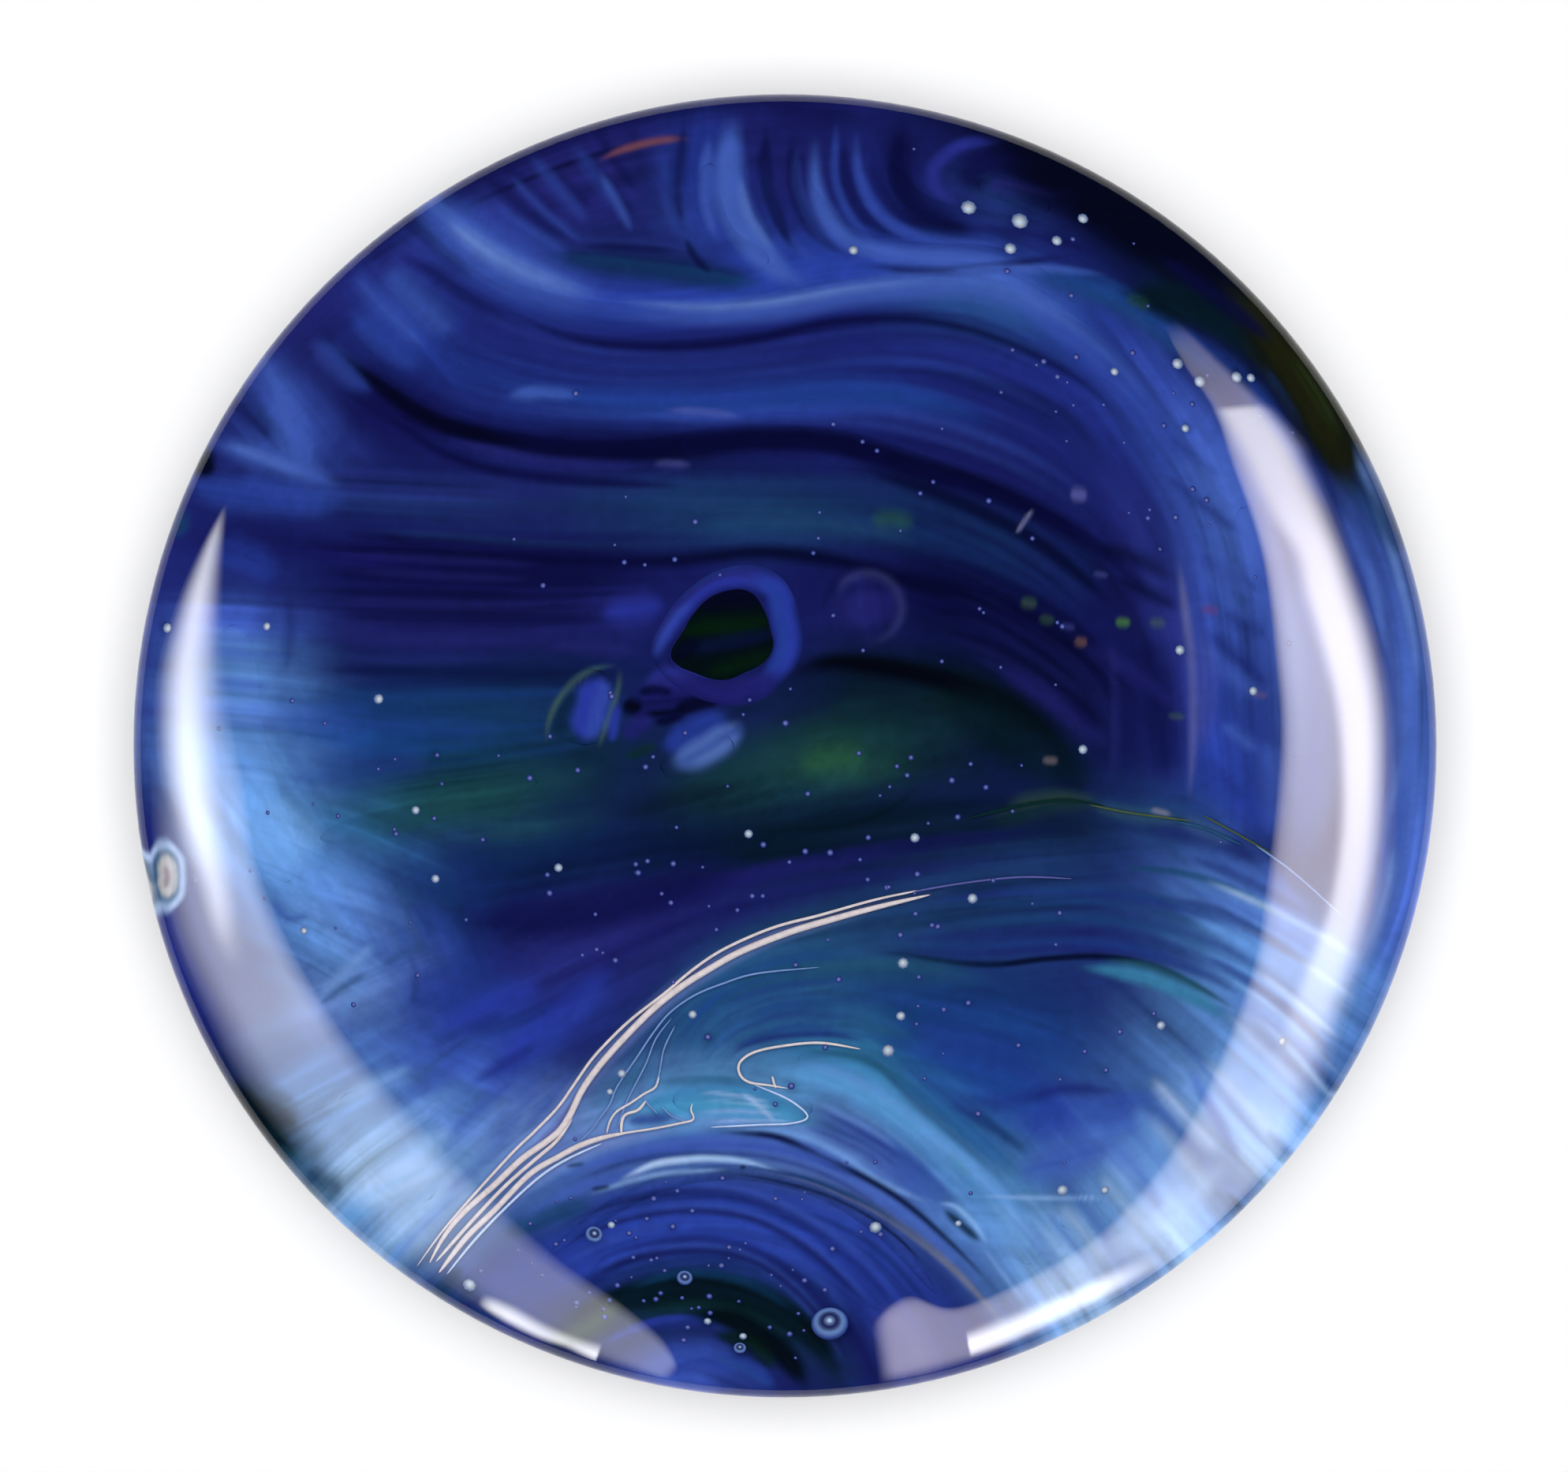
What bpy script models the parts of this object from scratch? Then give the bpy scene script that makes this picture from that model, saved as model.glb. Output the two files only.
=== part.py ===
"""A domed glass paperweight with a marbled blue layer, built up the way it is made at the furnace.

A clear foot holds a dark green gather and a cobalt ground. Trails and threads of coloured glass lie
on the ground, and a clear dome is cased over them. Metres, +Z up, origin under the middle of the foot.
"""

import math

import bmesh
import bpy
from mathutils import Vector

MM = 0.001

# Outside of the weight
GIRTH_RADIUS = 40.0 * MM
GIRTH_HEIGHT = 10.4 * MM
CROWN_RADIUS = 60.0 * MM
SHOULDER_RADIUS = 1.6 * MM
FOOT_INSET = 7.0 * MM

# Layers from the foot up
FOOT_WALL = 1.0 * MM
FOOT_FLOOR = 2.5 * MM
BASE_THICKNESS = 2.7 * MM
GROUND_DROP = 2.4 * MM
GROUND_RISE = 6.0 * MM
TRAIL_THICKNESS = 0.8 * MM
THREAD_RADIUS = 0.27 * MM
LAYER_GAP = 0.3 * MM

# The drawn swirl is fitted to the ground, with this much of the ground left bare at the edge
SWIRL_MARGIN = 2.4 * MM
TRAIL_END_SHARE = 0.25
TRAIL_BODY_SHARE = 0.55
EYE_TURN = math.radians(25.0)

# Fineness of the solids
TURN_STEPS = 48
CROWN_POINTS = 9
SHOULDER_POINTS = 5
FLANK_POINTS = 6
CAP_POINTS = 8
TRAIL_STEPS_PER_SPAN = 3
TRAIL_STEPS_ACROSS = 2
THREAD_STEPS_PER_SPAN = 4
THREAD_BEVEL_STEPS = 1
EYE_STEPS = 32
EYE_TUBE_STEPS = 8
WELD_DISTANCE = 0.00001

GLASS_ROUGHNESS = 0.05
CLEAR = (0.90, 0.95, 0.96, 1.0)
BOTTLE_GREEN = (0.004, 0.020, 0.012, 1.0)
POOL_GREEN = (0.020, 0.110, 0.060, 1.0)
TEAL = (0.015, 0.100, 0.170, 1.0)
COBALT = (0.010, 0.022, 0.240, 1.0)
INDIGO = (0.006, 0.005, 0.060, 1.0)
VIOLET = (0.030, 0.015, 0.170, 1.0)
CORNFLOWER = (0.055, 0.095, 0.480, 1.0)
SKY = (0.130, 0.350, 0.740, 1.0)
AQUA = (0.150, 0.450, 0.620, 1.0)
CREAM = (0.640, 0.500, 0.470, 1.0)
OLIVE = (0.130, 0.150, 0.070, 1.0)

# Flat trails: name, colour, width and route over the ground, in millimetres from its middle
TRAILS = (
    ("sky_ribbon", SKY, 2.3, (
        (-20.6, 28.0), (-16.8, 26.6), (-12.0, 25.1), (-6.1, 24.6), (0.2, 25.3),
        (6.1, 26.1), (11.6, 26.0), (16.2, 24.2), (20.3, 21.3), (24.0, 17.1))),
    ("hanging_loop_outer", CORNFLOWER, 1.8, ((-4.4, 34.6), (-4.5, 32.0), (-3.3, 29.4), (-0.9, 28.2))),
    ("hanging_loop_middle", SKY, 1.6, (
        (0.9, 35.0), (1.2, 32.7), (3.2, 30.2), (7.1, 28.9), (12.1, 28.7), (15.8, 27.4))),
    ("hanging_loop_inner", CORNFLOWER, 1.5, (
        (6.3, 34.6), (6.8, 33.2), (8.5, 31.7), (11.7, 31.0), (15.0, 30.4), (17.6, 29.1))),
    ("loop_heart", INDIGO, 1.8, ((11.4, 33.4), (13.6, 32.9), (15.8, 31.9))),
    ("cornflower_band", CORNFLOWER, 2.7, (
        (-19.9, 23.1), (-12.5, 21.1), (-5.2, 20.5), (1.6, 21.2),
        (8.3, 20.9), (14.2, 18.8), (19.2, 15.2), (22.9, 11.1))),
    ("indigo_band", INDIGO, 2.2, (
        (-26.0, 22.9), (-23.8, 21.3), (-20.4, 18.9), (-15.1, 17.0), (-8.8, 16.6),
        (-2.5, 17.5), (3.8, 17.0), (9.6, 15.0), (15.0, 12.3), (20.1, 9.5))),
    ("violet_band", VIOLET, 2.5, (
        (-32.1, 11.3), (-25.2, 10.6), (-17.8, 10.1), (-11.4, 10.4), (-6.0, 11.9),
        (-0.7, 12.2), (4.2, 11.1), (9.6, 9.1), (15.0, 6.5), (19.5, 3.4))),
    ("right_band", CORNFLOWER, 3.5, ((26.7, 14.0), (28.8, 9.4), (30.0, 4.4), (29.9, -0.7))),
    ("dark_streak", BOTTLE_GREEN, 1.8, ((20.5, 26.3), (23.3, 24.7), (25.6, 22.7), (27.7, 19.9))),
    ("green_streak", TEAL, 1.8, ((-27.1, -5.4), (-22.3, -4.3), (-17.7, -3.0), (-14.1, -2.0))),
    ("green_pool", POOL_GREEN, 4.4, (
        (-6.9, -4.7), (-2.9, -4.0), (1.5, -2.2), (6.0, 0.0), (11.4, 1.4), (16.8, 0.9))),
    ("violet_sweep", VIOLET, 3.2, (
        (-27.4, -17.7), (-21.6, -14.7), (-15.1, -11.9), (-7.8, -9.1),
        (-0.7, -7.4), (6.5, -6.2), (13.6, -5.4), (20.5, -5.6))),
    ("teal_fold", TEAL, 2.3, ((-6.5, -20.5), (-3.8, -20.1), (-1.1, -20.3), (1.6, -21.0))),
    ("aqua_plume", AQUA, 2.7, (
        (0.7, -17.9), (4.3, -18.8), (7.9, -21.2), (10.9, -24.5), (13.0, -27.7), (14.5, -30.7))),
    ("outer_arc", OLIVE, 1.1, (
        (-14.1, -30.2), (-10.7, -27.4), (-7.0, -25.4), (-2.7, -24.7),
        (2.0, -25.8), (5.9, -28.5), (9.0, -32.4))),
    ("middle_arc", COBALT, 1.6, (
        (-12.0, -32.1), (-8.9, -29.5), (-4.3, -28.0), (0.2, -28.7), (3.7, -31.2), (5.6, -33.4))),
    ("inner_arc", BOTTLE_GREEN, 2.0, ((-8.8, -33.3), (-6.2, -31.7), (-3.0, -31.2), (0.2, -32.4), (2.0, -34.0))),
    ("left_fan", SKY, 3.6, ((-32.7, 7.2), (-32.4, 2.1), (-31.2, -3.0), (-29.0, -8.0))),
    ("lower_left_fan", SKY, 3.5, ((-26.0, -20.5), (-23.8, -23.7), (-20.9, -26.8))),
    ("lower_right_fan", SKY, 4.1, ((27.8, -17.2), (24.4, -21.6), (20.0, -25.5), (16.3, -28.3))),
    ("left_petal", CORNFLOWER, 3.4, ((-11.4, 0.0), (-11.3, 2.3), (-10.5, 4.3))),
    ("lower_petal", SKY, 2.1, ((-7.1, -1.3), (-5.1, -0.7), (-2.9, 0.2))),
)

# Round threads: name, colour and route over the ground, in millimetres from its middle
THREADS = (
    ("cream_thread", CREAM, (
        (-19.7, -29.1), (-17.0, -25.9), (-13.6, -21.7), (-10.4, -17.3), (-6.5, -13.4),
        (-2.0, -10.9), (3.8, -9.3), (10.0, -8.6), (15.5, -8.5))),
    ("cream_thread_inner", CREAM, (
        (-16.3, -26.8), (-12.7, -22.9), (-9.5, -18.9), (-6.5, -15.4), (-2.9, -12.9), (2.0, -11.4))),
    ("cream_thread_lower", CREAM, ((-18.0, -30.5), (-15.5, -27.9), (-12.1, -24.8), (-8.8, -23.1))),
    ("cream_hook", CREAM, ((6.0, -16.4), (2.9, -16.1), (-0.2, -16.2), (-2.5, -16.8), (-3.6, -17.8))),
    ("olive_thread", OLIVE, ((10.5, -3.1), (15.0, -2.4), (20.5, -2.4), (25.6, -3.8), (30.0, -7.1))),
)

# The eye, a ring of blue round a dark drop, in millimetres on the ground like the trails
EYE_CENTRE = (-3.3, 6.2)
EYE_LENGTH = 8.4
EYE_BREADTH = 7.5
EYE_RING_WIDTH = 1.1
EYE_PUPIL_GAP = 0.4

# The flank is one arc, upright at the girth, that runs in to the edge of the flat foot
FOOT_RADIUS = GIRTH_RADIUS - FOOT_INSET
FLANK_RADIUS = (FOOT_INSET**2 + GIRTH_HEIGHT**2) / (2.0 * FOOT_INSET)
FLANK_CENTRE = GIRTH_RADIUS - FLANK_RADIUS

# The crown runs into the shoulder at this slope
CROWN_SLOPE = math.asin((GIRTH_RADIUS - SHOULDER_RADIUS) / (CROWN_RADIUS - SHOULDER_RADIUS))
CROWN_CENTRE = GIRTH_HEIGHT - (CROWN_RADIUS - SHOULDER_RADIUS) * math.cos(CROWN_SLOPE)

BASE_BOTTOM = FOOT_FLOOR + LAYER_GAP
BASE_TOP = BASE_BOTTOM + BASE_THICKNESS
GROUND_BOTTOM = BASE_TOP + LAYER_GAP
GROUND_EDGE = GIRTH_HEIGHT - GROUND_DROP
GROUND_TOP = GROUND_EDGE + GROUND_RISE


def flank_radius(height, inset):
    """Radius at a height of the curve that lies this far inside the flank."""
    return FLANK_CENTRE + math.sqrt((FLANK_RADIUS - inset)**2 - (GIRTH_HEIGHT - height)**2)


CORE_INSET = FOOT_WALL + LAYER_GAP
GROUND_RADIUS = flank_radius(GROUND_EDGE, CORE_INSET)
CAP_RADIUS = (GROUND_RADIUS**2 + GROUND_RISE**2) / (2.0 * GROUND_RISE)
CAP_CENTRE = GROUND_TOP - CAP_RADIUS
CEILING_LIFT = LAYER_GAP + TRAIL_THICKNESS + LAYER_GAP
SWIRL_REACH = max(math.hypot(*point) + width / 2.0 for _, _, width, route in TRAILS for point in route)
SWIRL_SCALE = (GROUND_RADIUS - SWIRL_MARGIN) / SWIRL_REACH


def cap_height(radius, lift):
    """Height of the surface that lies this far over the ground's domed top."""
    return CAP_CENTRE + math.sqrt((CAP_RADIUS + lift)**2 - radius**2)


def shares(count):
    """Even steps from 0 to 1, both ends included."""
    return [step / (count - 1) for step in range(count)]


def clear_scene():
    for item in list(bpy.data.objects):
        bpy.data.objects.remove(item)


def glass(name, colour, transmission):
    material = bpy.data.materials.new(name + "_glass")
    material.use_nodes = True
    shader = material.node_tree.nodes["Principled BSDF"]
    shader.inputs["Base Color"].default_value = colour
    shader.inputs["Roughness"].default_value = GLASS_ROUGHNESS
    shader.inputs["Metallic"].default_value = 0.0
    shader.inputs["Transmission Weight"].default_value = transmission
    material.diffuse_color = colour
    return material


def finish(item, material, home, parent):
    """Put a finished piece in the weight's collection, with its material and its parent."""
    for collection in list(item.users_collection):
        collection.objects.unlink(item)
    home.objects.link(item)
    item.data.materials.append(material)
    item.parent = parent
    return item


def turned(name, outline):
    """A turned piece; its outline starts and ends on the axis and runs down its outer side."""
    mesh = bpy.data.meshes.new(name)
    builder = bmesh.new()
    points = [builder.verts.new((radius, 0.0, height)) for radius, height in outline]
    for first, second in zip(points, points[1:]):
        builder.edges.new((first, second))
    builder.to_mesh(mesh)
    builder.free()
    item = bpy.data.objects.new(name, mesh)
    bpy.context.scene.collection.objects.link(item)
    lathe = item.modifiers.new("lathe", "SCREW")
    lathe.axis = "Z"
    lathe.steps = TURN_STEPS
    lathe.render_steps = TURN_STEPS
    lathe.use_merge_vertices = True
    lathe.merge_threshold = WELD_DISTANCE
    lathe.use_smooth_shade = True
    return item


def flank_outline(top, bottom, inset):
    """Points down the curve that lies this far inside the flank."""
    heights = [top + (bottom - top) * share for share in shares(FLANK_POINTS)]
    return [(flank_radius(height, inset), height) for height in heights]


def cap_outline(radius, lift):
    """Points from the axis out to a radius, at a lift over the ground's domed top."""
    return [(radius * share, cap_height(radius * share, lift)) for share in shares(CAP_POINTS)]


def clear_dome():
    outline = []
    for share in shares(CROWN_POINTS):
        slope = CROWN_SLOPE * share
        outline.append((CROWN_RADIUS * math.sin(slope), CROWN_CENTRE + CROWN_RADIUS * math.cos(slope)))
    for share in shares(SHOULDER_POINTS)[1:]:
        slope = CROWN_SLOPE + (math.pi / 2.0 - CROWN_SLOPE) * share
        outline.append((GIRTH_RADIUS - SHOULDER_RADIUS + SHOULDER_RADIUS * math.sin(slope),
                        GIRTH_HEIGHT + SHOULDER_RADIUS * math.cos(slope)))
    spigot = flank_radius(GROUND_EDGE + CEILING_LIFT, CORE_INSET)
    outline.append((spigot, GIRTH_HEIGHT))
    outline.extend(reversed(cap_outline(spigot, CEILING_LIFT)))
    return turned("clear_dome", outline)


def clear_foot():
    rim = GIRTH_HEIGHT - LAYER_GAP
    outline = [(0.0, FOOT_FLOOR)]
    outline.extend(reversed(flank_outline(rim, FOOT_FLOOR, FOOT_WALL)))
    outline.extend(flank_outline(rim, 0.0, 0.0))
    outline.append((0.0, 0.0))
    return turned("clear_foot", outline)


def dark_green_base():
    outline = [(0.0, BASE_TOP)]
    outline.extend(flank_outline(BASE_TOP, BASE_BOTTOM, CORE_INSET))
    outline.append((0.0, BASE_BOTTOM))
    return turned("dark_green_base", outline)


def cobalt_ground():
    outline = cap_outline(GROUND_RADIUS, 0.0)
    outline.extend(flank_outline(GROUND_EDGE, GROUND_BOTTOM, CORE_INSET)[1:])
    outline.append((0.0, GROUND_BOTTOM))
    return turned("cobalt_ground", outline)


def fitted(route):
    """A drawn route as vectors on the real ground."""
    return [Vector(point) * SWIRL_SCALE for point in route]


def along(points, share):
    """Place and direction on a smooth curve through the points, for a share of its way."""
    last = len(points) - 1
    span = min(int(share * last), last - 1)
    t = share * last - span
    start, end = points[span], points[span + 1]
    leave = (end - points[max(span - 1, 0)]) / 2.0
    arrive = (points[min(span + 2, last)] - start) / 2.0
    place = (start * (2 * t**3 - 3 * t**2 + 1) + leave * (t**3 - 2 * t**2 + t)
             + end * (3 * t**2 - 2 * t**3) + arrive * (t**3 - t**2))
    direction = (start * (6 * t**2 - 6 * t) + leave * (3 * t**2 - 4 * t + 1)
                 + end * (6 * t - 6 * t**2) + arrive * (3 * t**2 - 2 * t))
    return place, direction.normalized()


def trail_taper(share):
    """Share of its full width that a trail has, rounded off towards both ends."""
    past_body = max(abs(2.0 * share - 1.0) - TRAIL_BODY_SHARE, 0.0) / (1.0 - TRAIL_BODY_SHARE)
    return TRAIL_END_SHARE + (1.0 - TRAIL_END_SHARE) * math.sqrt(1.0 - past_body**2)


def drape(item, lift):
    """Lay a flat piece over the ground's domed top."""
    for vertex in item.data.vertices:
        vertex.co.z += cap_height(math.hypot(vertex.co.x, vertex.co.y), lift)


def trail(name, width, route):
    """A flat ribbon of glass bent along its route on the ground."""
    points = fitted(route)
    steps = TRAIL_STEPS_PER_SPAN * (len(points) - 1)
    bpy.ops.mesh.primitive_grid_add(x_subdivisions=steps, y_subdivisions=TRAIL_STEPS_ACROSS, size=1.0)
    item = bpy.context.object
    item.name = name
    for vertex in item.data.vertices:
        share = vertex.co.x + 0.5
        place, direction = along(points, share)
        side = Vector((-direction.y, direction.x)) * vertex.co.y * trail_taper(share)
        spot = place + side * width * SWIRL_SCALE
        vertex.co = (spot.x, spot.y, 0.0)
    drape(item, LAYER_GAP)
    body = item.modifiers.new("thickness", "SOLIDIFY")
    body.thickness = TRAIL_THICKNESS
    body.offset = 1.0
    return item


def thread(name, route):
    """A round thread of glass along its route on the ground."""
    points = fitted(route)
    steps = THREAD_STEPS_PER_SPAN * (len(points) - 1) + 1
    curve = bpy.data.curves.new(name, "CURVE")
    curve.dimensions = "3D"
    curve.bevel_depth = THREAD_RADIUS
    curve.bevel_resolution = THREAD_BEVEL_STEPS
    curve.use_fill_caps = True
    spline = curve.splines.new("POLY")
    spline.points.add(steps - 1)
    for share, point in zip(shares(steps), spline.points):
        place, _ = along(points, share)
        point.co = (place.x, place.y, cap_height(place.length, LAYER_GAP + THREAD_RADIUS), 1.0)
    item = bpy.data.objects.new(name, curve)
    bpy.context.scene.collection.objects.link(item)
    return item


def lay_eye_piece(item, name, scale):
    """Turn an oval piece to the eye's slant and lay it in the trail layer."""
    item.name = name
    item.scale = scale
    item.rotation_euler = (0.0, 0.0, EYE_TURN)
    item.location = (EYE_CENTRE[0] * SWIRL_SCALE, EYE_CENTRE[1] * SWIRL_SCALE, 0.0)
    bpy.ops.object.transform_apply(location=True, rotation=True, scale=True)
    drape(item, LAYER_GAP + TRAIL_THICKNESS / 2.0)
    item.data.shade_smooth()
    return item


def eye_ring():
    """An oval ring; its tube is as wide as the ring and as thick as the trail layer."""
    half_width = EYE_RING_WIDTH * SWIRL_SCALE / 2.0
    half_length = EYE_LENGTH * SWIRL_SCALE / 2.0 - half_width
    half_breadth = EYE_BREADTH * SWIRL_SCALE / 2.0 - half_width
    bpy.ops.mesh.primitive_torus_add(
        major_radius=half_breadth, minor_radius=half_width,
        major_segments=EYE_STEPS, minor_segments=EYE_TUBE_STEPS)
    item = bpy.context.object
    for vertex in item.data.vertices:
        flat = Vector((vertex.co.x, vertex.co.y))
        vertex.co.x += flat.normalized().x * (half_length - half_breadth)
    return lay_eye_piece(item, "eye_ring", (1.0, 1.0, TRAIL_THICKNESS / (2.0 * half_width)))


def eye_pupil():
    """A flattened drop inside the ring, clear of it all round."""
    margin = 2.0 * (EYE_RING_WIDTH + EYE_PUPIL_GAP)
    bpy.ops.mesh.primitive_uv_sphere_add(radius=0.5, segments=EYE_STEPS, ring_count=EYE_TUBE_STEPS)
    length = (EYE_LENGTH - margin) * SWIRL_SCALE
    breadth = (EYE_BREADTH - margin) * SWIRL_SCALE
    return lay_eye_piece(bpy.context.object, "eye_pupil", (length, breadth, TRAIL_THICKNESS))


def build():
    clear_scene()
    home = bpy.data.collections.new("paperweight")
    bpy.context.scene.collection.children.link(home)
    stand = bpy.data.objects.new("paperweight_origin", None)
    home.objects.link(stand)

    for maker, colour, transmission in (
            (clear_dome, CLEAR, 1.0),
            (clear_foot, CLEAR, 1.0),
            (dark_green_base, BOTTLE_GREEN, 0.0),
            (cobalt_ground, COBALT, 0.0),
            (eye_ring, CORNFLOWER, 0.0),
            (eye_pupil, BOTTLE_GREEN, 0.0)):
        item = maker()
        finish(item, glass(item.name, colour, transmission), home, stand)
    for name, colour, width, route in TRAILS:
        finish(trail(name, width, route), glass(name, colour, 0.0), home, stand)
    for name, colour, route in THREADS:
        finish(thread(name, route), glass(name, colour, 0.0), home, stand)


build()
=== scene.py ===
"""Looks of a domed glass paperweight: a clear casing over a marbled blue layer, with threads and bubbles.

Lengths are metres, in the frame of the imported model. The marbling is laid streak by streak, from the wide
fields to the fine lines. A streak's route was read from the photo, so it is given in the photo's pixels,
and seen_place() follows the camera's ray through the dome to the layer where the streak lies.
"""

import math

import bpy
import numpy as np
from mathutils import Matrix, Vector, geometry


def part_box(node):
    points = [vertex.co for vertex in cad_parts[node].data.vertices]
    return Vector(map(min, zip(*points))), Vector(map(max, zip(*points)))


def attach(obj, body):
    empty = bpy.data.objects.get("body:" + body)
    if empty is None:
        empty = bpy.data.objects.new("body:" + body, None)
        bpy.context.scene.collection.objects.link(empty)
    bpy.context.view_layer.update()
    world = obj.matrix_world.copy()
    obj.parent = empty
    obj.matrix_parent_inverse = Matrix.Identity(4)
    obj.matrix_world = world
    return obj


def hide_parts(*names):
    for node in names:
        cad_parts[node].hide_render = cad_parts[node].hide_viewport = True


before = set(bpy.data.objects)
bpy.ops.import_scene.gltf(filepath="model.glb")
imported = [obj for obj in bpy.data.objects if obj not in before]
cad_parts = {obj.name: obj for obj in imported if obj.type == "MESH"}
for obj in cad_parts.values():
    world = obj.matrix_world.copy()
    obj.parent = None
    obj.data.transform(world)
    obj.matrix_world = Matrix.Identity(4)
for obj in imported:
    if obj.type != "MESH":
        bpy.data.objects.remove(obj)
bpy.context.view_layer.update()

MM = 0.001

# The clear outside, as the part's source has it
GIRTH_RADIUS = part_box("clear_dome")[1].x
CROWN_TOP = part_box("clear_dome")[1].z
GIRTH_HEIGHT = 10.4 * MM
CROWN_RADIUS = 60.0 * MM
SHOULDER_RADIUS = 1.6 * MM
FOOT_INSET = 7.0 * MM
FOOT_EDGE_RADIUS = 0.6 * MM
GLASS_IOR = 1.5

# The coloured core inside it
GROUND_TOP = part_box("cobalt_ground")[1].z
GROUND_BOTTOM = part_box("cobalt_ground")[0].z
GROUND_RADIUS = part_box("cobalt_ground")[1].x
GROUND_RISE = 6.0 * MM
GROUND_LIP = 0.3 * MM
GROUND_COAT = 0.32 * MM
CORE_INSET = 1.3 * MM
TRAIL_RISE = 0.34 * MM
TRAIL_SINK = 0.03 * MM
TRAIL_BELLY = 0.1 * MM
SWIRL_LIFT = 0.6 * MM

# The photo: its size, and where the weight's round outline lies in it
PHOTO_WIDTH = 1988
WEIGHT_ACROSS = 995.2
WEIGHT_DOWN = 945.5
WEIGHT_RADIUS_PIXELS = 826.3
PIXEL = GIRTH_RADIUS / WEIGHT_RADIUS_PIXELS
LAYER_SHRINK = 0.93
LAYER_PIXEL = LAYER_SHRINK * PIXEL
CAMERA_DISTANCE = 1.0
SENSOR_WIDTH = 36.0
PHOTO_MIDDLE = (994.0, 933.0)

# Colours of the glass, in 0 to 255 steps; the bubbles also use some of them as painted highlight, shade and
# reflection
COLOURS = {
    "ink": (5, 6, 38),
    "navy": (11, 10, 60),
    "indigo": (20, 20, 80),
    "deep": (27, 29, 98),
    "cobalt": (33, 42, 124),
    "royal": (39, 58, 146),
    "corn": (56, 78, 164),
    "steel": (70, 98, 178),
    "sky": (98, 150, 210),
    "pale": (146, 192, 232),
    "ice": (182, 214, 241),
    "teal": (19, 54, 94),
    "tealblue": (30, 64, 108),
    "sea": (40, 84, 120),
    "aqua": (70, 150, 190),
    "pine": (10, 27, 44),
    "black_green": (3, 13, 20),
    "moss": (36, 76, 62),
    "glow": (54, 104, 60),
    "grass": (30, 66, 78),
    "violet": (31, 27, 104),
    "plum": (40, 38, 112),
    "cream": (205, 211, 209),
    "iris": (44, 54, 160),
    "dark_moss": (10, 34, 8),
    "grey": (130, 132, 145),
    "olive": (74, 90, 62),
    "lilac": (90, 94, 160),
    "azure": (30, 66, 140),
    "dusk": (36, 34, 108),
    "dim": (32, 41, 106),
    "night": (17, 14, 72),
    "lagoon": (20, 58, 100),
    "fern": (30, 72, 82),
    "abyss": (8, 22, 42),
    "lake": (54, 110, 162),
    "midnight": (15, 30, 80),
    "slate": (34, 60, 112),
    "forest": (14, 42, 46),
    "black": (3, 4, 18),
    "rust": (112, 72, 72),
    "mauve": (100, 46, 108),
    "haze": (116, 150, 206),
    "bark": (30, 28, 12),
}

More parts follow.
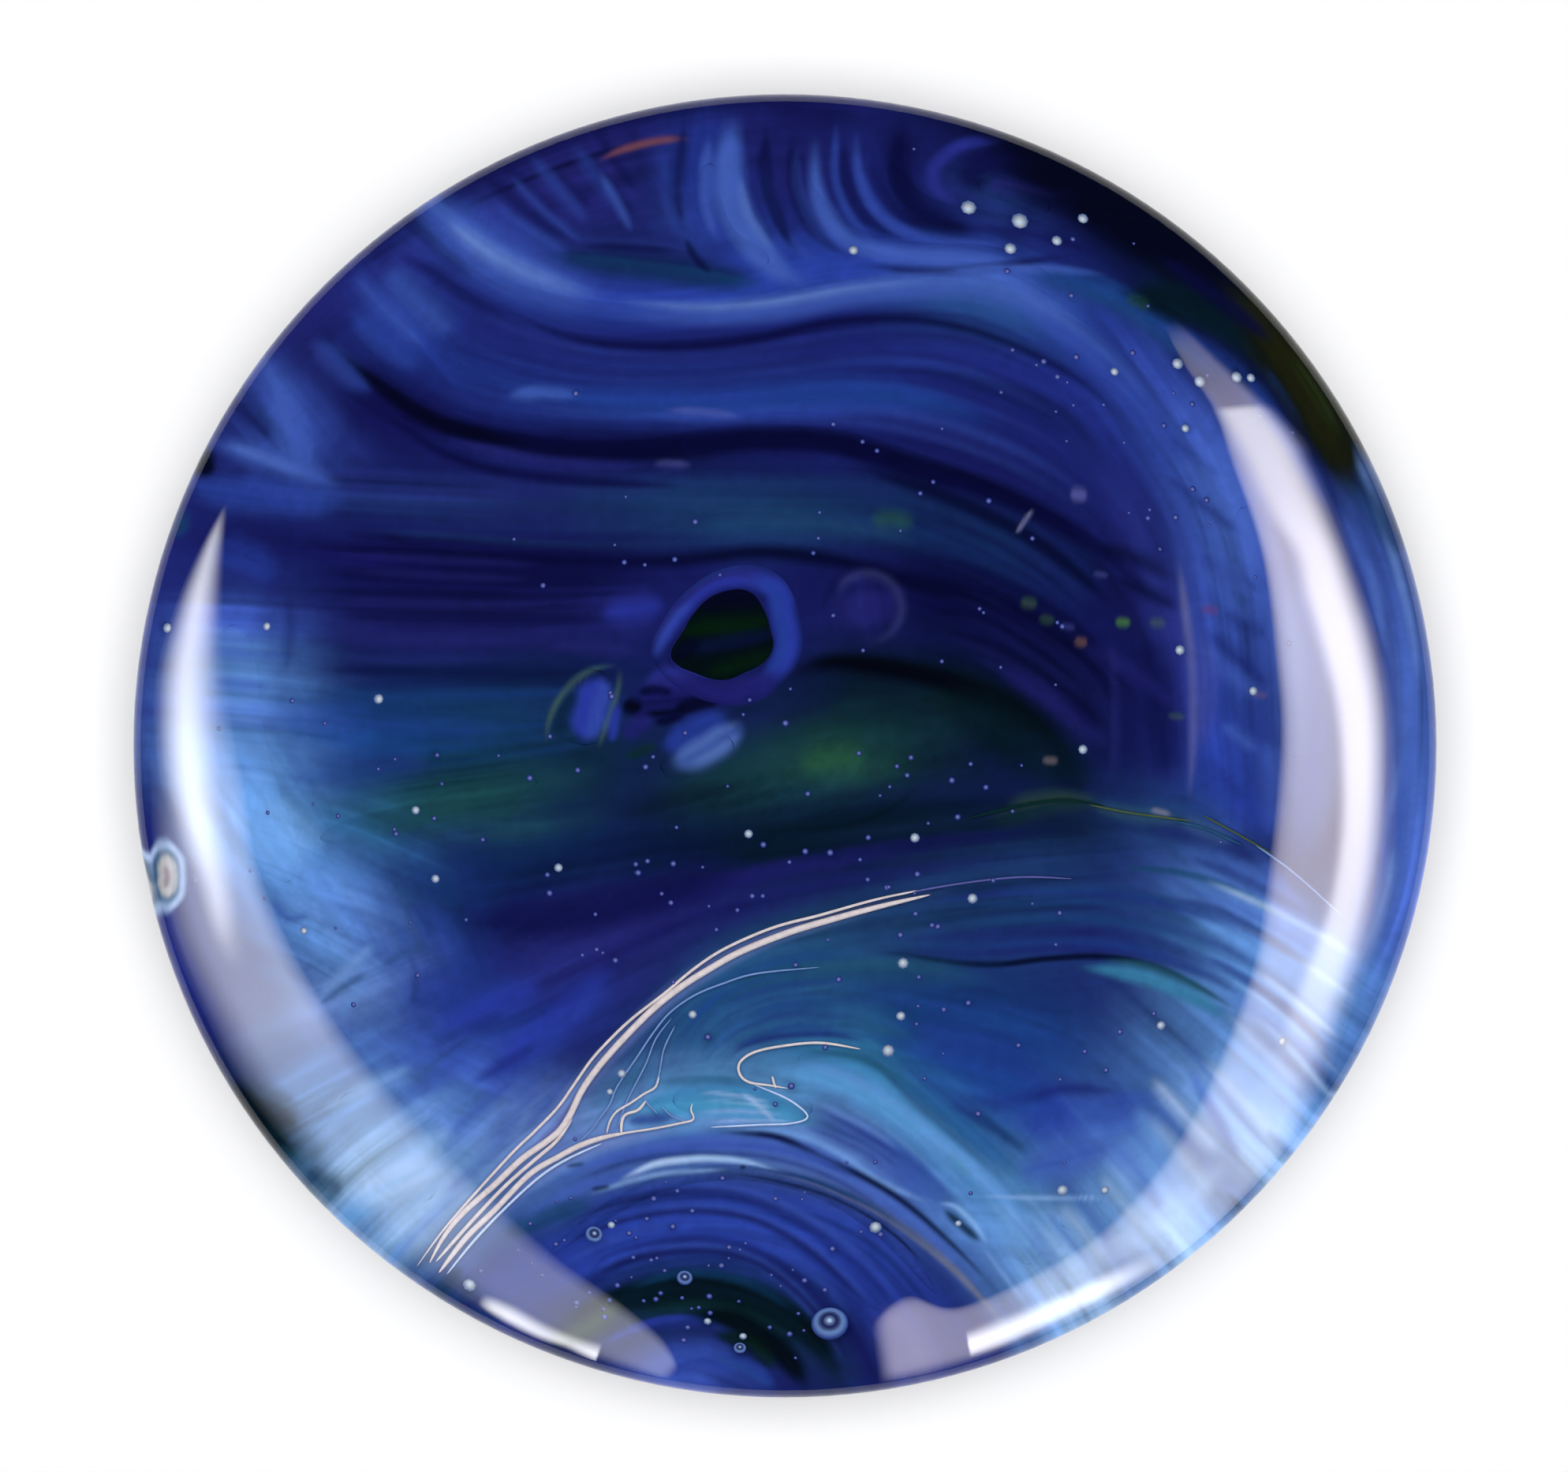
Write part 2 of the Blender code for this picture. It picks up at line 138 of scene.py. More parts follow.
# The soft fields under the streaks, in the order in which they lie: tone, reach, strength and route, with
# lengths and places in the photo's pixels
WASHES = (
    # Upper field
    ("dusk", 190, 1.0, ((330, 440), (520, 300), (780, 190), (1000, 165))),
    ("royal", 85, 0.8, ((880, 150), (890, 250), (940, 330))),
    ("indigo", 75, 0.9, ((960, 135), (1100, 145))),
    ("ink", 110, 1.0, ((1170, 150), (1330, 230), (1480, 330), (1620, 450))),
    ("royal", 100, 1.0, ((490, 240), (620, 330), (760, 390), (900, 385), (1050, 345), (1220, 345),
        (1330, 390), (1420, 480), (1500, 590))),
    ("corn", 65, 0.8, ((540, 260), (620, 325), (710, 370))),
    ("steel", 60, 0.7, ((1150, 345), (1250, 350), (1330, 390))),
    ("dim", 60, 0.9, ((700, 318), (800, 322), (910, 338))),
    ("deep", 60, 0.9, ((600, 410), (760, 440), (950, 430), (1150, 420), (1300, 470))),
    ("cobalt", 100, 0.8, ((1000, 480), (1200, 470), (1350, 520), (1420, 620))),
    ("royal", 65, 0.9, ((480, 420), (600, 480), (760, 505), (950, 495), (1120, 500))),
    ("royal", 80, 0.8, ((470, 360), (520, 420), (560, 470))),
    ("corn", 90, 1.0, ((320, 500), (370, 560), (400, 600))),
    ("night", 85, 0.9, ((430, 460), (490, 510), (580, 550))),
    ("deep", 65, 0.6, ((1180, 235), (1260, 262), (1340, 295))),
    ("cobalt", 60, 0.5, ((1090, 190), (1130, 260), (1210, 300))),
    ("black_green", 85, 1.0, ((1420, 270), (1540, 370), (1640, 480), (1730, 640))),
    ("lake", 60, 0.3, ((1140, 388), (1240, 392), (1340, 424))),
    # Dark middle
    ("night", 75, 0.85, ((480, 500), (620, 560), (800, 578), (1000, 580))),
    ("indigo", 75, 1.0, ((1000, 580), (1200, 605), (1350, 670), (1440, 780), (1470, 900))),
    ("dim", 65, 0.9, ((230, 610), (400, 625), (600, 635), (800, 640))),
    ("tealblue", 65, 0.85, ((760, 645), (950, 650), (1130, 650))),
    ("teal", 70, 0.6, ((1100, 655), (1220, 680), (1340, 730))),
    ("night", 70, 1.0, ((300, 690), (480, 705), (700, 715), (880, 715))),
    ("navy", 125, 1.0, ((1050, 720), (1200, 760), (1330, 830), (1410, 930))),
    ("dusk", 60, 0.8, ((370, 790), (560, 797), (800, 790))),
    ("dusk", 65, 0.7, ((1090, 745), (1100, 805))),
    ("plum", 65, 0.7, ((1470, 740), (1505, 850), (1495, 970))),
    ("lagoon", 115, 1.0, ((330, 890), (480, 920), (640, 930), (770, 940))),
    ("azure", 65, 0.6, ((330, 905), (420, 925), (500, 935))),
    ("midnight", 55, 0.6, ((520, 862), (680, 856), (820, 850))),
    ("abyss", 60, 0.6, ((1000, 855), (1080, 850), (1160, 850))),
    ("navy", 50, 0.6, ((380, 745), (560, 750), (720, 755))),
    ("midnight", 95, 1.0, ((500, 1130), (700, 1100), (880, 1070), (1050, 1050))),
    ("fern", 75, 0.95, ((400, 1045), (520, 1020), (640, 1003), (740, 985))),
    ("abyss", 150, 1.0, ((760, 1030), (900, 1010), (1100, 940), (1300, 930))),
    ("black_green", 115, 1.0, ((1130, 865), (1250, 905), (1330, 980))),
    ("grass", 90, 0.65, ((880, 1005), (1060, 962), (1180, 940))),
    ("moss", 60, 0.8, ((1010, 968), (1060, 960), (1110, 958))),
    ("indigo", 80, 1.0, ((600, 1200), (760, 1155), (950, 1118), (1150, 1088), (1380, 1070))),
    ("abyss", 75, 0.9, ((840, 1085), (1000, 1062), (1150, 1045), (1340, 1035))),
    ("plum", 95, 0.9, ((620, 1290), (720, 1220), (850, 1160))),
    ("royal", 95, 0.9, ((520, 1350), (640, 1310), (730, 1270))),
    ("abyss", 60, 0.55, ((980, 1058), (1180, 1048), (1390, 1046))),
    ("corn", 55, 0.35, ((840, 235), (860, 265), (880, 290))),
    ("slate", 55, 0.4, ((1210, 235), (1260, 255), (1310, 280))),
    ("pine", 85, 0.5, ((600, 895), (710, 903), (810, 915))),
    ("ink", 65, 0.5, ((880, 1108), (1050, 1100), (1200, 1096), (1340, 1090))),
    ("abyss", 65, 0.45, ((1140, 1085), (1260, 1080), (1390, 1082))),
    ("black_green", 75, 0.45, ((1030, 888), (1110, 893), (1190, 905))),
    ("ink", 70, 0.4, ((540, 788), (690, 800), (810, 802))),
    ("indigo", 75, 0.35, ((370, 785), (430, 797), (510, 803))),
    ("cobalt", 65, 0.4, ((600, 545), (650, 555), (710, 560))),
    ("plum", 65, 0.45, ((1420, 620), (1450, 660), (1470, 700))),
    ("indigo", 70, 0.4, ((400, 845), (450, 850), (510, 852))),
    ("pine", 65, 0.4, ((700, 945), (760, 955), (800, 960))),
    ("fern", 65, 0.4, ((600, 1040), (650, 1045), (720, 1040))),
    ("abyss", 65, 0.4, ((1000, 1145), (1060, 1145), (1120, 1135))),
    ("black_green", 60, 0.4, ((1310, 1050), (1350, 1050), (1400, 1050))),
    # Right field
    ("corn", 115, 1.0, ((1450, 480), (1540, 620), (1580, 780), (1590, 950))),
    ("royal", 85, 0.8, ((1530, 880), (1545, 1000), (1540, 1080))),
    ("steel", 95, 1.0, ((1740, 620), (1790, 780), (1800, 950), (1780, 1130), (1720, 1280))),
    ("tealblue", 75, 0.8, ((1420, 1030), (1500, 1045), (1560, 1080))),
    ("steel", 75, 0.6, ((1510, 540), (1560, 650), (1585, 750))),
    ("steel", 60, 0.4, ((1530, 620), (1555, 660), (1570, 700))),
    # Left edge
    ("deep", 75, 1.0, ((190, 700), (172, 850), (175, 1000))),
    ("corn", 95, 1.0, ((230, 800), (290, 802), (350, 806))),
    ("steel", 115, 1.0, ((220, 920), (290, 924), (370, 930))),
    ("cobalt", 85, 1.0, ((180, 1080), (210, 1200), (270, 1320))),
    ("steel", 110, 1.0, ((360, 1110), (430, 1160), (460, 1220))),
    ("sky", 110, 1.0, ((285, 975), (335, 1045), (390, 1120))),
    ("royal", 105, 1.0, ((510, 1150), (540, 1230), (560, 1290))),
    ("azure", 75, 0.5, ((530, 1200), (565, 1260), (590, 1320))),
    ("lake", 85, 0.6, ((380, 1030), (450, 1050), (520, 1080))),
    ("haze", 80, 0.5, ((340, 1300), (430, 1270), (520, 1235))),
    ("steel", 130, 1.0, ((470, 1340), (560, 1420), (650, 1450))),
    ("corn", 85, 0.7, ((510, 1330), (580, 1360), (650, 1390))),
    ("sky", 105, 0.8, ((330, 1440), (410, 1395), (470, 1365))),
    ("sky", 115, 0.9, ((390, 1530), (470, 1460), (545, 1405))),
    ("sky", 110, 0.9, ((470, 1610), (550, 1530), (630, 1460))),
    ("pale", 80, 0.7, ((400, 1540), (460, 1480), (530, 1430))),
    ("pale", 70, 0.6, ((470, 1600), (530, 1540), (600, 1480))),
    ("black_green", 65, 1.0, ((285, 1355), (335, 1425), (385, 1490))),
    ("sky", 75, 0.55, ((235, 850), (300, 855), (365, 862))),
    ("sky", 80, 0.55, ((240, 950), (310, 958), (375, 970))),
    ("sky", 80, 0.55, ((295, 1060), (350, 1078), (410, 1105))),
    ("sky", 80, 0.55, ((340, 1165), (400, 1190), (460, 1225))),
    ("royal", 70, 0.5, ((510, 1380), (555, 1345), (600, 1310))),
    ("haze", 80, 0.5, ((610, 1480), (660, 1440), (700, 1410))),
    ("sky", 70, 0.35, ((410, 1140), (450, 1150), (490, 1165))),
    ("cobalt", 75, 0.6, ((510, 1240), (555, 1255), (600, 1268))),
    ("teal", 65, 0.45, ((510, 1140), (550, 1150), (600, 1150))),
    # Lower right
    ("slate", 140, 1.0, ((1050, 1190), (1250, 1165), (1420, 1150))),
    ("azure", 140, 1.0, ((1050, 1300), (1250, 1340), (1400, 1400))),
    ("sea", 90, 0.8, ((860, 1320), (960, 1240), (1120, 1205))),
    ("royal", 105, 0.8, ((1280, 1430), (1400, 1440), (1500, 1420))),
    ("steel", 120, 1.0, ((1530, 1120), (1600, 1200), (1620, 1300))),
    ("steel", 80, 0.9, ((690, 1510), (850, 1460), (1000, 1450), (1120, 1500), (1230, 1590))),
    ("haze", 90, 0.8, ((690, 1460), (860, 1410), (960, 1408), (1070, 1440))),
    ("haze", 60, 0.5, ((760, 1470), (880, 1446), (1010, 1452))),
    ("aqua", 75, 0.6, ((930, 1360), (1080, 1335), (1160, 1400), (1260, 1490), (1340, 1580))),
    ("sky", 120, 0.9, ((1540, 1180), (1640, 1240), (1740, 1310))),
    ("sky", 130, 0.9, ((1500, 1320), (1590, 1400), (1680, 1490))),
    ("sky", 130, 0.9, ((1390, 1440), (1470, 1530), (1560, 1630))),
    ("sky", 120, 0.9, ((1280, 1530), (1340, 1620), (1400, 1720))),
    ("pale", 85, 0.7, ((1540, 1390), (1610, 1460), (1670, 1530))),
    ("pale", 85, 0.7, ((1430, 1500), (1490, 1570), (1550, 1640))),
    ("pale", 75, 0.6, ((1310, 1570), (1360, 1640), (1400, 1710))),
    ("sky", 70, 0.4, ((1490, 1225), (1560, 1255), (1610, 1290))),
    ("lake", 95, 0.4, ((840, 1350), (930, 1270), (1050, 1240))),
    ("sky", 60, 0.35, ((820, 1452), (920, 1440), (1000, 1448))),
    ("lagoon", 65, 0.4, ((1430, 1185), (1500, 1200), (1560, 1220))),
    ("teal", 90, 0.4, ((1110, 1285), (1200, 1300), (1310, 1312))),
    ("sky", 75, 0.3, ((650, 1525), (710, 1495), (770, 1475))),
    ("sky", 75, 0.35, ((1160, 1470), (1210, 1510), (1260, 1560))),
    ("aqua", 70, 0.3, ((770, 1420), (820, 1395), (870, 1370))),
    ("aqua", 75, 0.3, ((930, 1410), (1000, 1398), (1060, 1405))),
    ("haze", 70, 0.25, ((980, 1490), (1060, 1500), (1130, 1540))),
    ("sky", 75, 0.35, ((1180, 1545), (1250, 1550), (1330, 1560))),
    ("aqua", 70, 0.35, ((800, 1452), (850, 1442), (900, 1442))),
    ("sky", 65, 0.3, ((1010, 1442), (1060, 1452), (1110, 1475))),
    ("abyss", 60, 0.3, ((1200, 1140), (1260, 1140), (1320, 1145))),
    # Bottom
    ("royal", 135, 1.0, ((620, 1640), (760, 1565), (920, 1540), (1080, 1585), (1180, 1690))),
    ("forest", 75, 1.0, ((740, 1685), (850, 1645), (960, 1660), (1060, 1735))),
    ("corn", 60, 0.9, ((800, 1752), (870, 1735), (930, 1755))),
)

# The streaks over them: two tones, half width, softness, strength and route. A row with two routes and a
# count is a set of lanes.
STREAKS = (
    # Streaks that run in from the upper left rim
    ("navy", "navy", 22, 26, 0.9, ((380, 400), (520, 275), (680, 185), (850, 138), (1000, 122),
        (1150, 128))),
    ("navy", "indigo", 7, 9, 0.8, ((585, 205), (660, 270), (735, 318)), ((745, 150), (785, 215),
        (830, 272)), 5),
    ("royal", "corn", 6, 9, 0.6, ((575, 225), (645, 285), (720, 330)), ((715, 165), (770, 245),
        (802, 300)), 4),
    ("corn", "steel", 6, 7, 0.7, ((758, 215), (785, 262), (803, 298))),
    ("indigo", "navy", 14, 16, 0.45, ((800, 150), (815, 220), (850, 290))),
    ("rust", "mauve", 6, 5, 0.85, ((755, 207), (790, 191), (840, 179), (886, 178))),
    ("indigo", "navy", 10, 11, 0.8, ((505, 262), (575, 330), (645, 390)), ((385, 380), (450, 445),
        (520, 500)), 3),
    ("royal", "corn", 12, 12, 0.75, ((470, 300), (535, 375), (600, 425)), ((360, 400), (430, 470),
        (500, 525)), 3),
    ("steel", "corn", 13, 20, 0.6, ((485, 335), (530, 385), (580, 430))),
    ("corn", "steel", 10, 18, 0.55, ((445, 345), (495, 400), (545, 446))),
    ("plum", "lilac", 4, 9, 0.35, ((385, 430), (420, 462), (458, 496))),
    ("corn", "steel", 17, 24, 0.75, ((330, 440), (362, 505), (378, 560), (400, 625))),
    ("steel", "corn", 9, 14, 0.6, ((352, 470), (372, 520), (384, 566), (396, 600))),
    ("steel", "corn", 12, 14, 0.75, ((262, 556), (320, 576), (380, 596), (440, 622))),
    ("steel", "haze", 5, 8, 0.5, ((285, 564), (340, 582), (400, 604))),
    ("corn", "royal", 10, 16, 0.6, ((300, 600), (360, 625), (420, 650))),
    ("navy", "indigo", 7, 10, 0.7, ((285, 500), (320, 532), (350, 560))),
    ("royal", "corn", 22, 16, 0.7, ((220, 612), (340, 632), (460, 636))),
    ("black_green", "ink", 16, 9, 1.0, ((238, 556), (254, 578), (272, 606))),
    ("teal", "tealblue", 16, 12, 0.7, ((205, 640), (240, 680))),
    ("cobalt", "royal", 20, 14, 0.7, ((255, 690), (310, 705), (360, 735))),
    ("indigo", "deep", 10, 10, 0.8, ((280, 662), (380, 672), (470, 690))),
    # Loops that hang from the top
    ("royal", "cobalt", 30, 22, 0.8, ((900, 140), (895, 220), (915, 300))),
    ("indigo", "navy", 10, 10, 0.7, ((868, 150), (858, 240), (868, 300))),
    ("corn", "steel", 8, 7, 0.7, ((900, 170), (895, 250), (912, 312))),
    ("corn", "steel", 17, 12, 0.95, ((930, 140), (924, 235), (945, 292), (990, 345), (1040, 362))),
    ("steel", "haze", 6, 6, 0.7, ((936, 215), (948, 275), (985, 328))),
    ("corn", "royal", 6, 5, 0.8, ((958, 150), (962, 240), (985, 305), (1040, 345)), ((1050, 150),
        (1050, 235), (1085, 300), (1150, 325)), 3),
    ("indigo", "navy", 7, 5, 0.9, ((968, 135), (968, 235), (995, 305), (1050, 345)), ((1108, 145),
        (1110, 225), (1140, 272), (1200, 300)), 4),
    ("corn", "steel", 12, 8, 0.9, ((1034, 165), (1036, 245), (1070, 302), (1130, 322), (1230, 328),
        (1330, 340))),
    ("royal", "corn", 7, 6, 0.8, ((1086, 160), (1090, 225), (1120, 277), (1180, 303), (1290, 312))),
    ("indigo", "navy", 7, 6, 0.9, ((1080, 335), (1190, 346), (1290, 335), (1370, 322))),
    ("navy", "ink", 22, 14, 0.9, ((1150, 140), (1140, 215), (1170, 270), (1260, 300))),
    ("plum", "iris", 9, 8, 0.9, ((1300, 176), (1225, 183), (1186, 212), (1190, 243), (1225, 262))),
    ("navy", "indigo", 18, 12, 0.9, ((1330, 205), (1260, 205), (1230, 225), (1260, 243))),
    ("black", "ink", 40, 30, 0.95, ((1180, 130), (1320, 190), (1450, 280), (1560, 370))),
    ("plum", "deep", 7, 6, 0.8, ((1385, 250), (1330, 245), (1275, 232), (1262, 238), (1310, 253))),
    ("indigo", "deep", 8, 7, 0.7, ((1225, 285), (1320, 300), (1420, 335))),
    ("black", "ink", 30, 24, 0.95, ((1250, 200), (1350, 240), (1430, 290), (1520, 345))),
    ("ink", "black", 26, 22, 1.0, ((1080, 118), (1250, 158), (1420, 240), (1560, 350), (1680, 480),
        (1750, 610), (1800, 760))),
    # Dark lens between the loops and the ribbon
    ("indigo", "teal", 22, 14, 0.9, ((680, 322), (780, 330), (880, 343), (985, 364))),
    ("navy", "indigo", 6, 5, 0.7, ((730, 312), (800, 315), (870, 320))),
    ("navy", "ink", 5, 4, 0.7, ((868, 300), (882, 328), (905, 350))),
    # The long ribbon
    ("corn", "steel", 24, 20, 0.75, ((505, 232), (585, 300), (650, 340), (720, 370), (800, 390))),
    ("steel", "haze", 9, 14, 0.5, ((560, 275), (625, 325), (690, 358), (760, 384))),
    ("corn", "steel", 15, 12, 0.8, ((680, 368), (780, 393), (880, 398), (980, 390), (1080, 372),
        (1180, 362), (1250, 364), (1310, 386), (1370, 428), (1430, 482), (1500, 570))),
    ("steel", "haze", 7, 8, 0.6, ((760, 382), (880, 389), (980, 381), (1080, 364), (1180, 355),
        (1250, 357))),
    ("corn", "steel", 6, 5, 0.8, ((1190, 346), (1270, 342), (1340, 344), (1410, 352))),
    ("tealblue", "azure", 18, 14, 0.8, ((1280, 345), (1360, 362), (1420, 385), (1500, 440), (1560, 500))),
    ("corn", "royal", 14, 12, 0.7, ((1290, 392), (1370, 440), (1450, 520), (1520, 610))),
    # Lines below the ribbon
    ("royal", "corn", 7, 9, 0.4, ((560, 350), (650, 420), (760, 450), (880, 455), (1000, 440),
        (1120, 420), (1230, 428), (1330, 475), (1420, 560)), ((500, 470), (580, 515), (690, 538),
        (820, 545), (960, 538), (1080, 540), (1200, 568), (1320, 620), (1420, 700)), 5),
    ("indigo", "deep", 5, 6, 0.6, ((560, 340), (650, 403), (760, 436), (880, 440), (1000, 425),
        (1120, 404), (1230, 410), (1330, 455), (1420, 540)), ((480, 480), (570, 525), (680, 548),
        (820, 555), (960, 548), (1080, 550), (1200, 578), (1320, 632), (1420, 712)), 8),
    ("navy", "indigo", 9, 7, 0.9, ((590, 355), (650, 396), (710, 425), (780, 438), (870, 440), (960, 430),
        (1060, 408), (1180, 408), (1290, 440), (1390, 500), (1470, 590))),
    ("indigo", "deep", 10, 9, 0.8, ((500, 320), (550, 345), (610, 385), (670, 412))),
    ("royal", "azure", 18, 14, 0.7, ((620, 490), (750, 505), (900, 508), (1050, 498), (1180, 510),
        (1290, 552))),
    ("corn", "steel", 7, 7, 0.7, ((640, 502), (685, 497), (740, 503))),
    ("corn", "royal", 6, 6, 0.7, ((790, 522), (880, 530), (1000, 524), (1120, 526))),
    ("lilac", "corn", 5, 4, 0.6, ((838, 520), (895, 523), (945, 530))),
    # Dark indigo band
    ("ink", "navy", 14, 8, 1.0, ((385, 400), (440, 455), (495, 500), (550, 535), (640, 558), (740, 572),
        (850, 567), (960, 557), (1060, 562), (1160, 592), (1260, 622), (1360, 672), (1440, 735),
        (1500, 820))),
    ("black", "ink", 9, 7, 0.9, ((430, 445), (490, 495), (550, 532), (600, 549), (680, 566))),
    ("navy", "indigo", 8, 6, 0.9, ((465, 508), (540, 562), (610, 592), (700, 607), (800, 614),
        (900, 616))),
    ("plum", "deep", 8, 7, 0.7, ((550, 553), (690, 585), (840, 592))),
    ("plum", "lilac", 6, 6, 0.5, ((825, 590), (880, 593))),
    ("navy", "ink", 10, 8, 0.8, ((1060, 585), (1200, 630), (1320, 692), (1430, 785))),
    ("indigo", "navy", 5, 6, 0.6, ((1060, 610), (1180, 645), (1300, 705), (1400, 790)), ((1080, 690),
        (1200, 720), (1310, 775), (1400, 850)), 3),
    # Teal band and the dark band under it
    ("dim", "tealblue", 5, 8, 0.4, ((300, 610), (500, 630), (720, 638), (950, 636), (1120, 646)),
        ((330, 660), (520, 672), (720, 684), (950, 682), (1120, 690)), 5),
    ("sea", "tealblue", 10, 14, 0.4, ((860, 672), (960, 664), (1070, 668), (1180, 690))),
    ("moss", "glow", 9, 14, 0.5, ((1100, 664), (1130, 660), (1162, 668))),
    ("navy", "ink", 8, 9, 0.9, ((420, 640), (480, 676), (560, 700), (700, 708), (850, 712), (960, 702),
        (1060, 712), (1160, 738), (1270, 770), (1380, 836), (1470, 940))),
    ("ink", "navy", 4, 5, 0.75, ((360, 690), (540, 702), (740, 712), (900, 706)), ((360, 775), (540, 782),
        (700, 784), (820, 780)), 10),
    ("plum", "dusk", 4, 6, 0.45, ((370, 700), (560, 712), (760, 722)), ((380, 840), (560, 842),
        (760, 832)), 6),
    ("indigo", "night", 4, 7, 0.5, ((380, 795), (560, 800), (760, 795)), ((370, 868), (560, 868),
        (740, 856)), 6),
    ("plum", "deep", 14, 14, 0.45, ((370, 806), (550, 812), (700, 812), (830, 814))),
    ("ink", "navy", 5, 9, 0.5, ((370, 850), (520, 852), (660, 853), (770, 850))),
    ("navy", "ink", 6, 6, 0.6, ((1100, 690), (1250, 732), (1370, 805), (1460, 920)), ((1150, 810),
        (1270, 838), (1360, 895), (1420, 985)), 6),
    ("plum", "deep", 5, 8, 0.4, ((1120, 712), (1260, 760), (1370, 840), (1440, 950)), ((1160, 810),
        (1270, 850), (1350, 910), (1400, 990)), 5),
    ("plum", "violet", 34, 24, 0.5, ((1090, 745), (1098, 800))),
    ("indigo", "navy", 5, 5, 0.6, ((1044, 790), (1048, 755), (1075, 728), (1110, 726), (1136, 750),
        (1142, 790))),
    # Left teal and green
    ("tealblue", "azure", 5, 8, 0.4, ((360, 880), (520, 884), (700, 880), (790, 870)), ((370, 980),
        (520, 968), (680, 950), (800, 930)), 8),
    ("teal", "pine", 5, 8, 0.4, ((400, 890), (560, 893), (760, 888)), ((420, 990), (560, 978),
        (740, 950)), 6),
    ("azure", "royal", 18, 26, 0.4, ((350, 905), (450, 915), (560, 925), (650, 930))),
    ("royal", "cobalt", 16, 24, 0.4, ((340, 985), (430, 982), (520, 968), (560, 960))),
    ("fern", "grass", 16, 26, 0.5, ((420, 1068), (510, 1044), (600, 1020), (690, 995), (780, 980))),
    ("moss", "fern", 4, 9, 0.35, ((430, 1052), (540, 1022), (660, 992)), ((470, 1085), (570, 1048),
        (690, 1018)), 4),
    ("midnight", "ink", 6, 10, 0.5, ((470, 1110), (640, 1078), (820, 1052), (1000, 1040)), ((560, 1165),
        (700, 1130), (860, 1100), (1000, 1080)), 6),
    ("teal", "midnight", 4, 9, 0.35, ((500, 1100), (680, 1068), (860, 1045)), ((580, 1150), (760, 1115),
        (920, 1085)), 5),
    # The pool
    ("grass", "pine", 40, 40, 0.4, ((820, 1012), (960, 985), (1080, 950), (1190, 920))),
    ("glow", "moss", 12, 22, 0.6, ((1005, 970), (1055, 962), (1105, 958))),
    ("pine", "grass", 20, 30, 0.35, ((1040, 895), (1130, 895), (1230, 915))),
    ("black_green", "black", 11, 11, 1.0, ((985, 885), (1015, 850), (1060, 838), (1130, 846), (1210, 864),
        (1290, 900), (1350, 950), (1375, 1000))),
    ("black_green", "pine", 28, 26, 0.7, ((1180, 880), (1270, 915), (1330, 965), (1330, 1020))),
    ("black_green", "pine", 4, 4, 0.8, ((950, 1052), (1060, 1048), (1120, 1030), (1158, 1002),
        (1172, 985))),
    ("pine", "black_green", 10, 12, 0.6, ((780, 1035), (860, 1012), (945, 994))),
    ("black_green", "pine", 11, 12, 0.6, ((860, 1080), (1000, 1082), (1150, 1068), (1260, 1045),
        (1340, 1014))),
    ("abyss", "pine", 4, 8, 0.5, ((800, 1060), (950, 1040), (1100, 1010), (1200, 970)), ((860, 1100),
        (1000, 1090), (1150, 1060), (1300, 1010)), 5),
    ("teal", "grass", 4, 9, 0.3, ((880, 1040), (1010, 1028), (1110, 1000)), ((900, 1010), (1010, 990),
        (1120, 965)), 4),
    ("olive", "moss", 7, 12, 0.4, ((1270, 1020), (1335, 1011), (1400, 1018))),
    # Violet sweep
    ("violet", "indigo", 7, 8, 0.7, ((560, 1200), (700, 1170), (850, 1130), (1000, 1092), (1200, 1062),
        (1400, 1045)), ((640, 1310), (740, 1250), (850, 1185), (1000, 1140), (1180, 1108), (1400, 1092)),
        4),
    ("plum", "violet", 8, 9, 0.5, ((620, 1200), (760, 1160), (900, 1122), (1050, 1095), (1250, 1072)),
        ((700, 1280), (790, 1225), (880, 1180), (1000, 1145), (1140, 1118)), 3),
    ("navy", "indigo", 24, 20, 0.85, ((560, 1175), (640, 1168), (740, 1160), (850, 1128), (960, 1100))),
    ("iris", "royal", 18, 16, 0.7, ((545, 1310), (620, 1275), (700, 1245))),
    ("iris", "royal", 22, 16, 0.7, ((600, 1380), (660, 1330), (720, 1280), (790, 1215))),
    ("cobalt", "indigo", 8, 14, 0.5, ((540, 1335), (590, 1310), (650, 1285))),
    ("cobalt", "deep", 7, 7, 0.7, ((590, 1378), (640, 1350), (690, 1320))),
    ("corn", "royal", 6, 7, 0.5, ((560, 1450), (620, 1400), (690, 1340)), ((620, 1480), (680, 1420),
        (760, 1310)), 4),
    # Lights along the left edge
    ("indigo", "navy", 7, 10, 0.5, ((366, 748), (368, 800), (362, 858))),
    ("haze", "sky", 4, 9, 0.3, ((225, 790), (290, 796), (356, 800)), ((225, 965), (290, 970), (370, 985)),
        7),
    ("royal", "iris", 5, 9, 0.4, ((240, 770), (310, 778), (372, 782)), ((240, 985), (310, 985),
        (390, 990)), 5),
    ("pale", "sky", 6, 16, 0.35, ((270, 1000), (320, 1050), (380, 1120)), ((330, 985), (385, 1035),
        (440, 1100)), 4),
    ("steel", "haze", 7, 15, 0.3, ((330, 1110), (400, 1160), (470, 1240)), ((420, 1080), (490, 1140),
        (550, 1220)), 5),
    ("royal", "corn", 6, 12, 0.4, ((470, 1110), (520, 1160), (550, 1230)), ((530, 1120), (570, 1180),
        (590, 1260)), 4),
    ("indigo", "corn", 4, 6, 0.6, ((345, 1140), (365, 1163), (395, 1160))),
    ("sky", "haze", 7, 10, 0.6, ((402, 1270), (440, 1232), (480, 1192))),
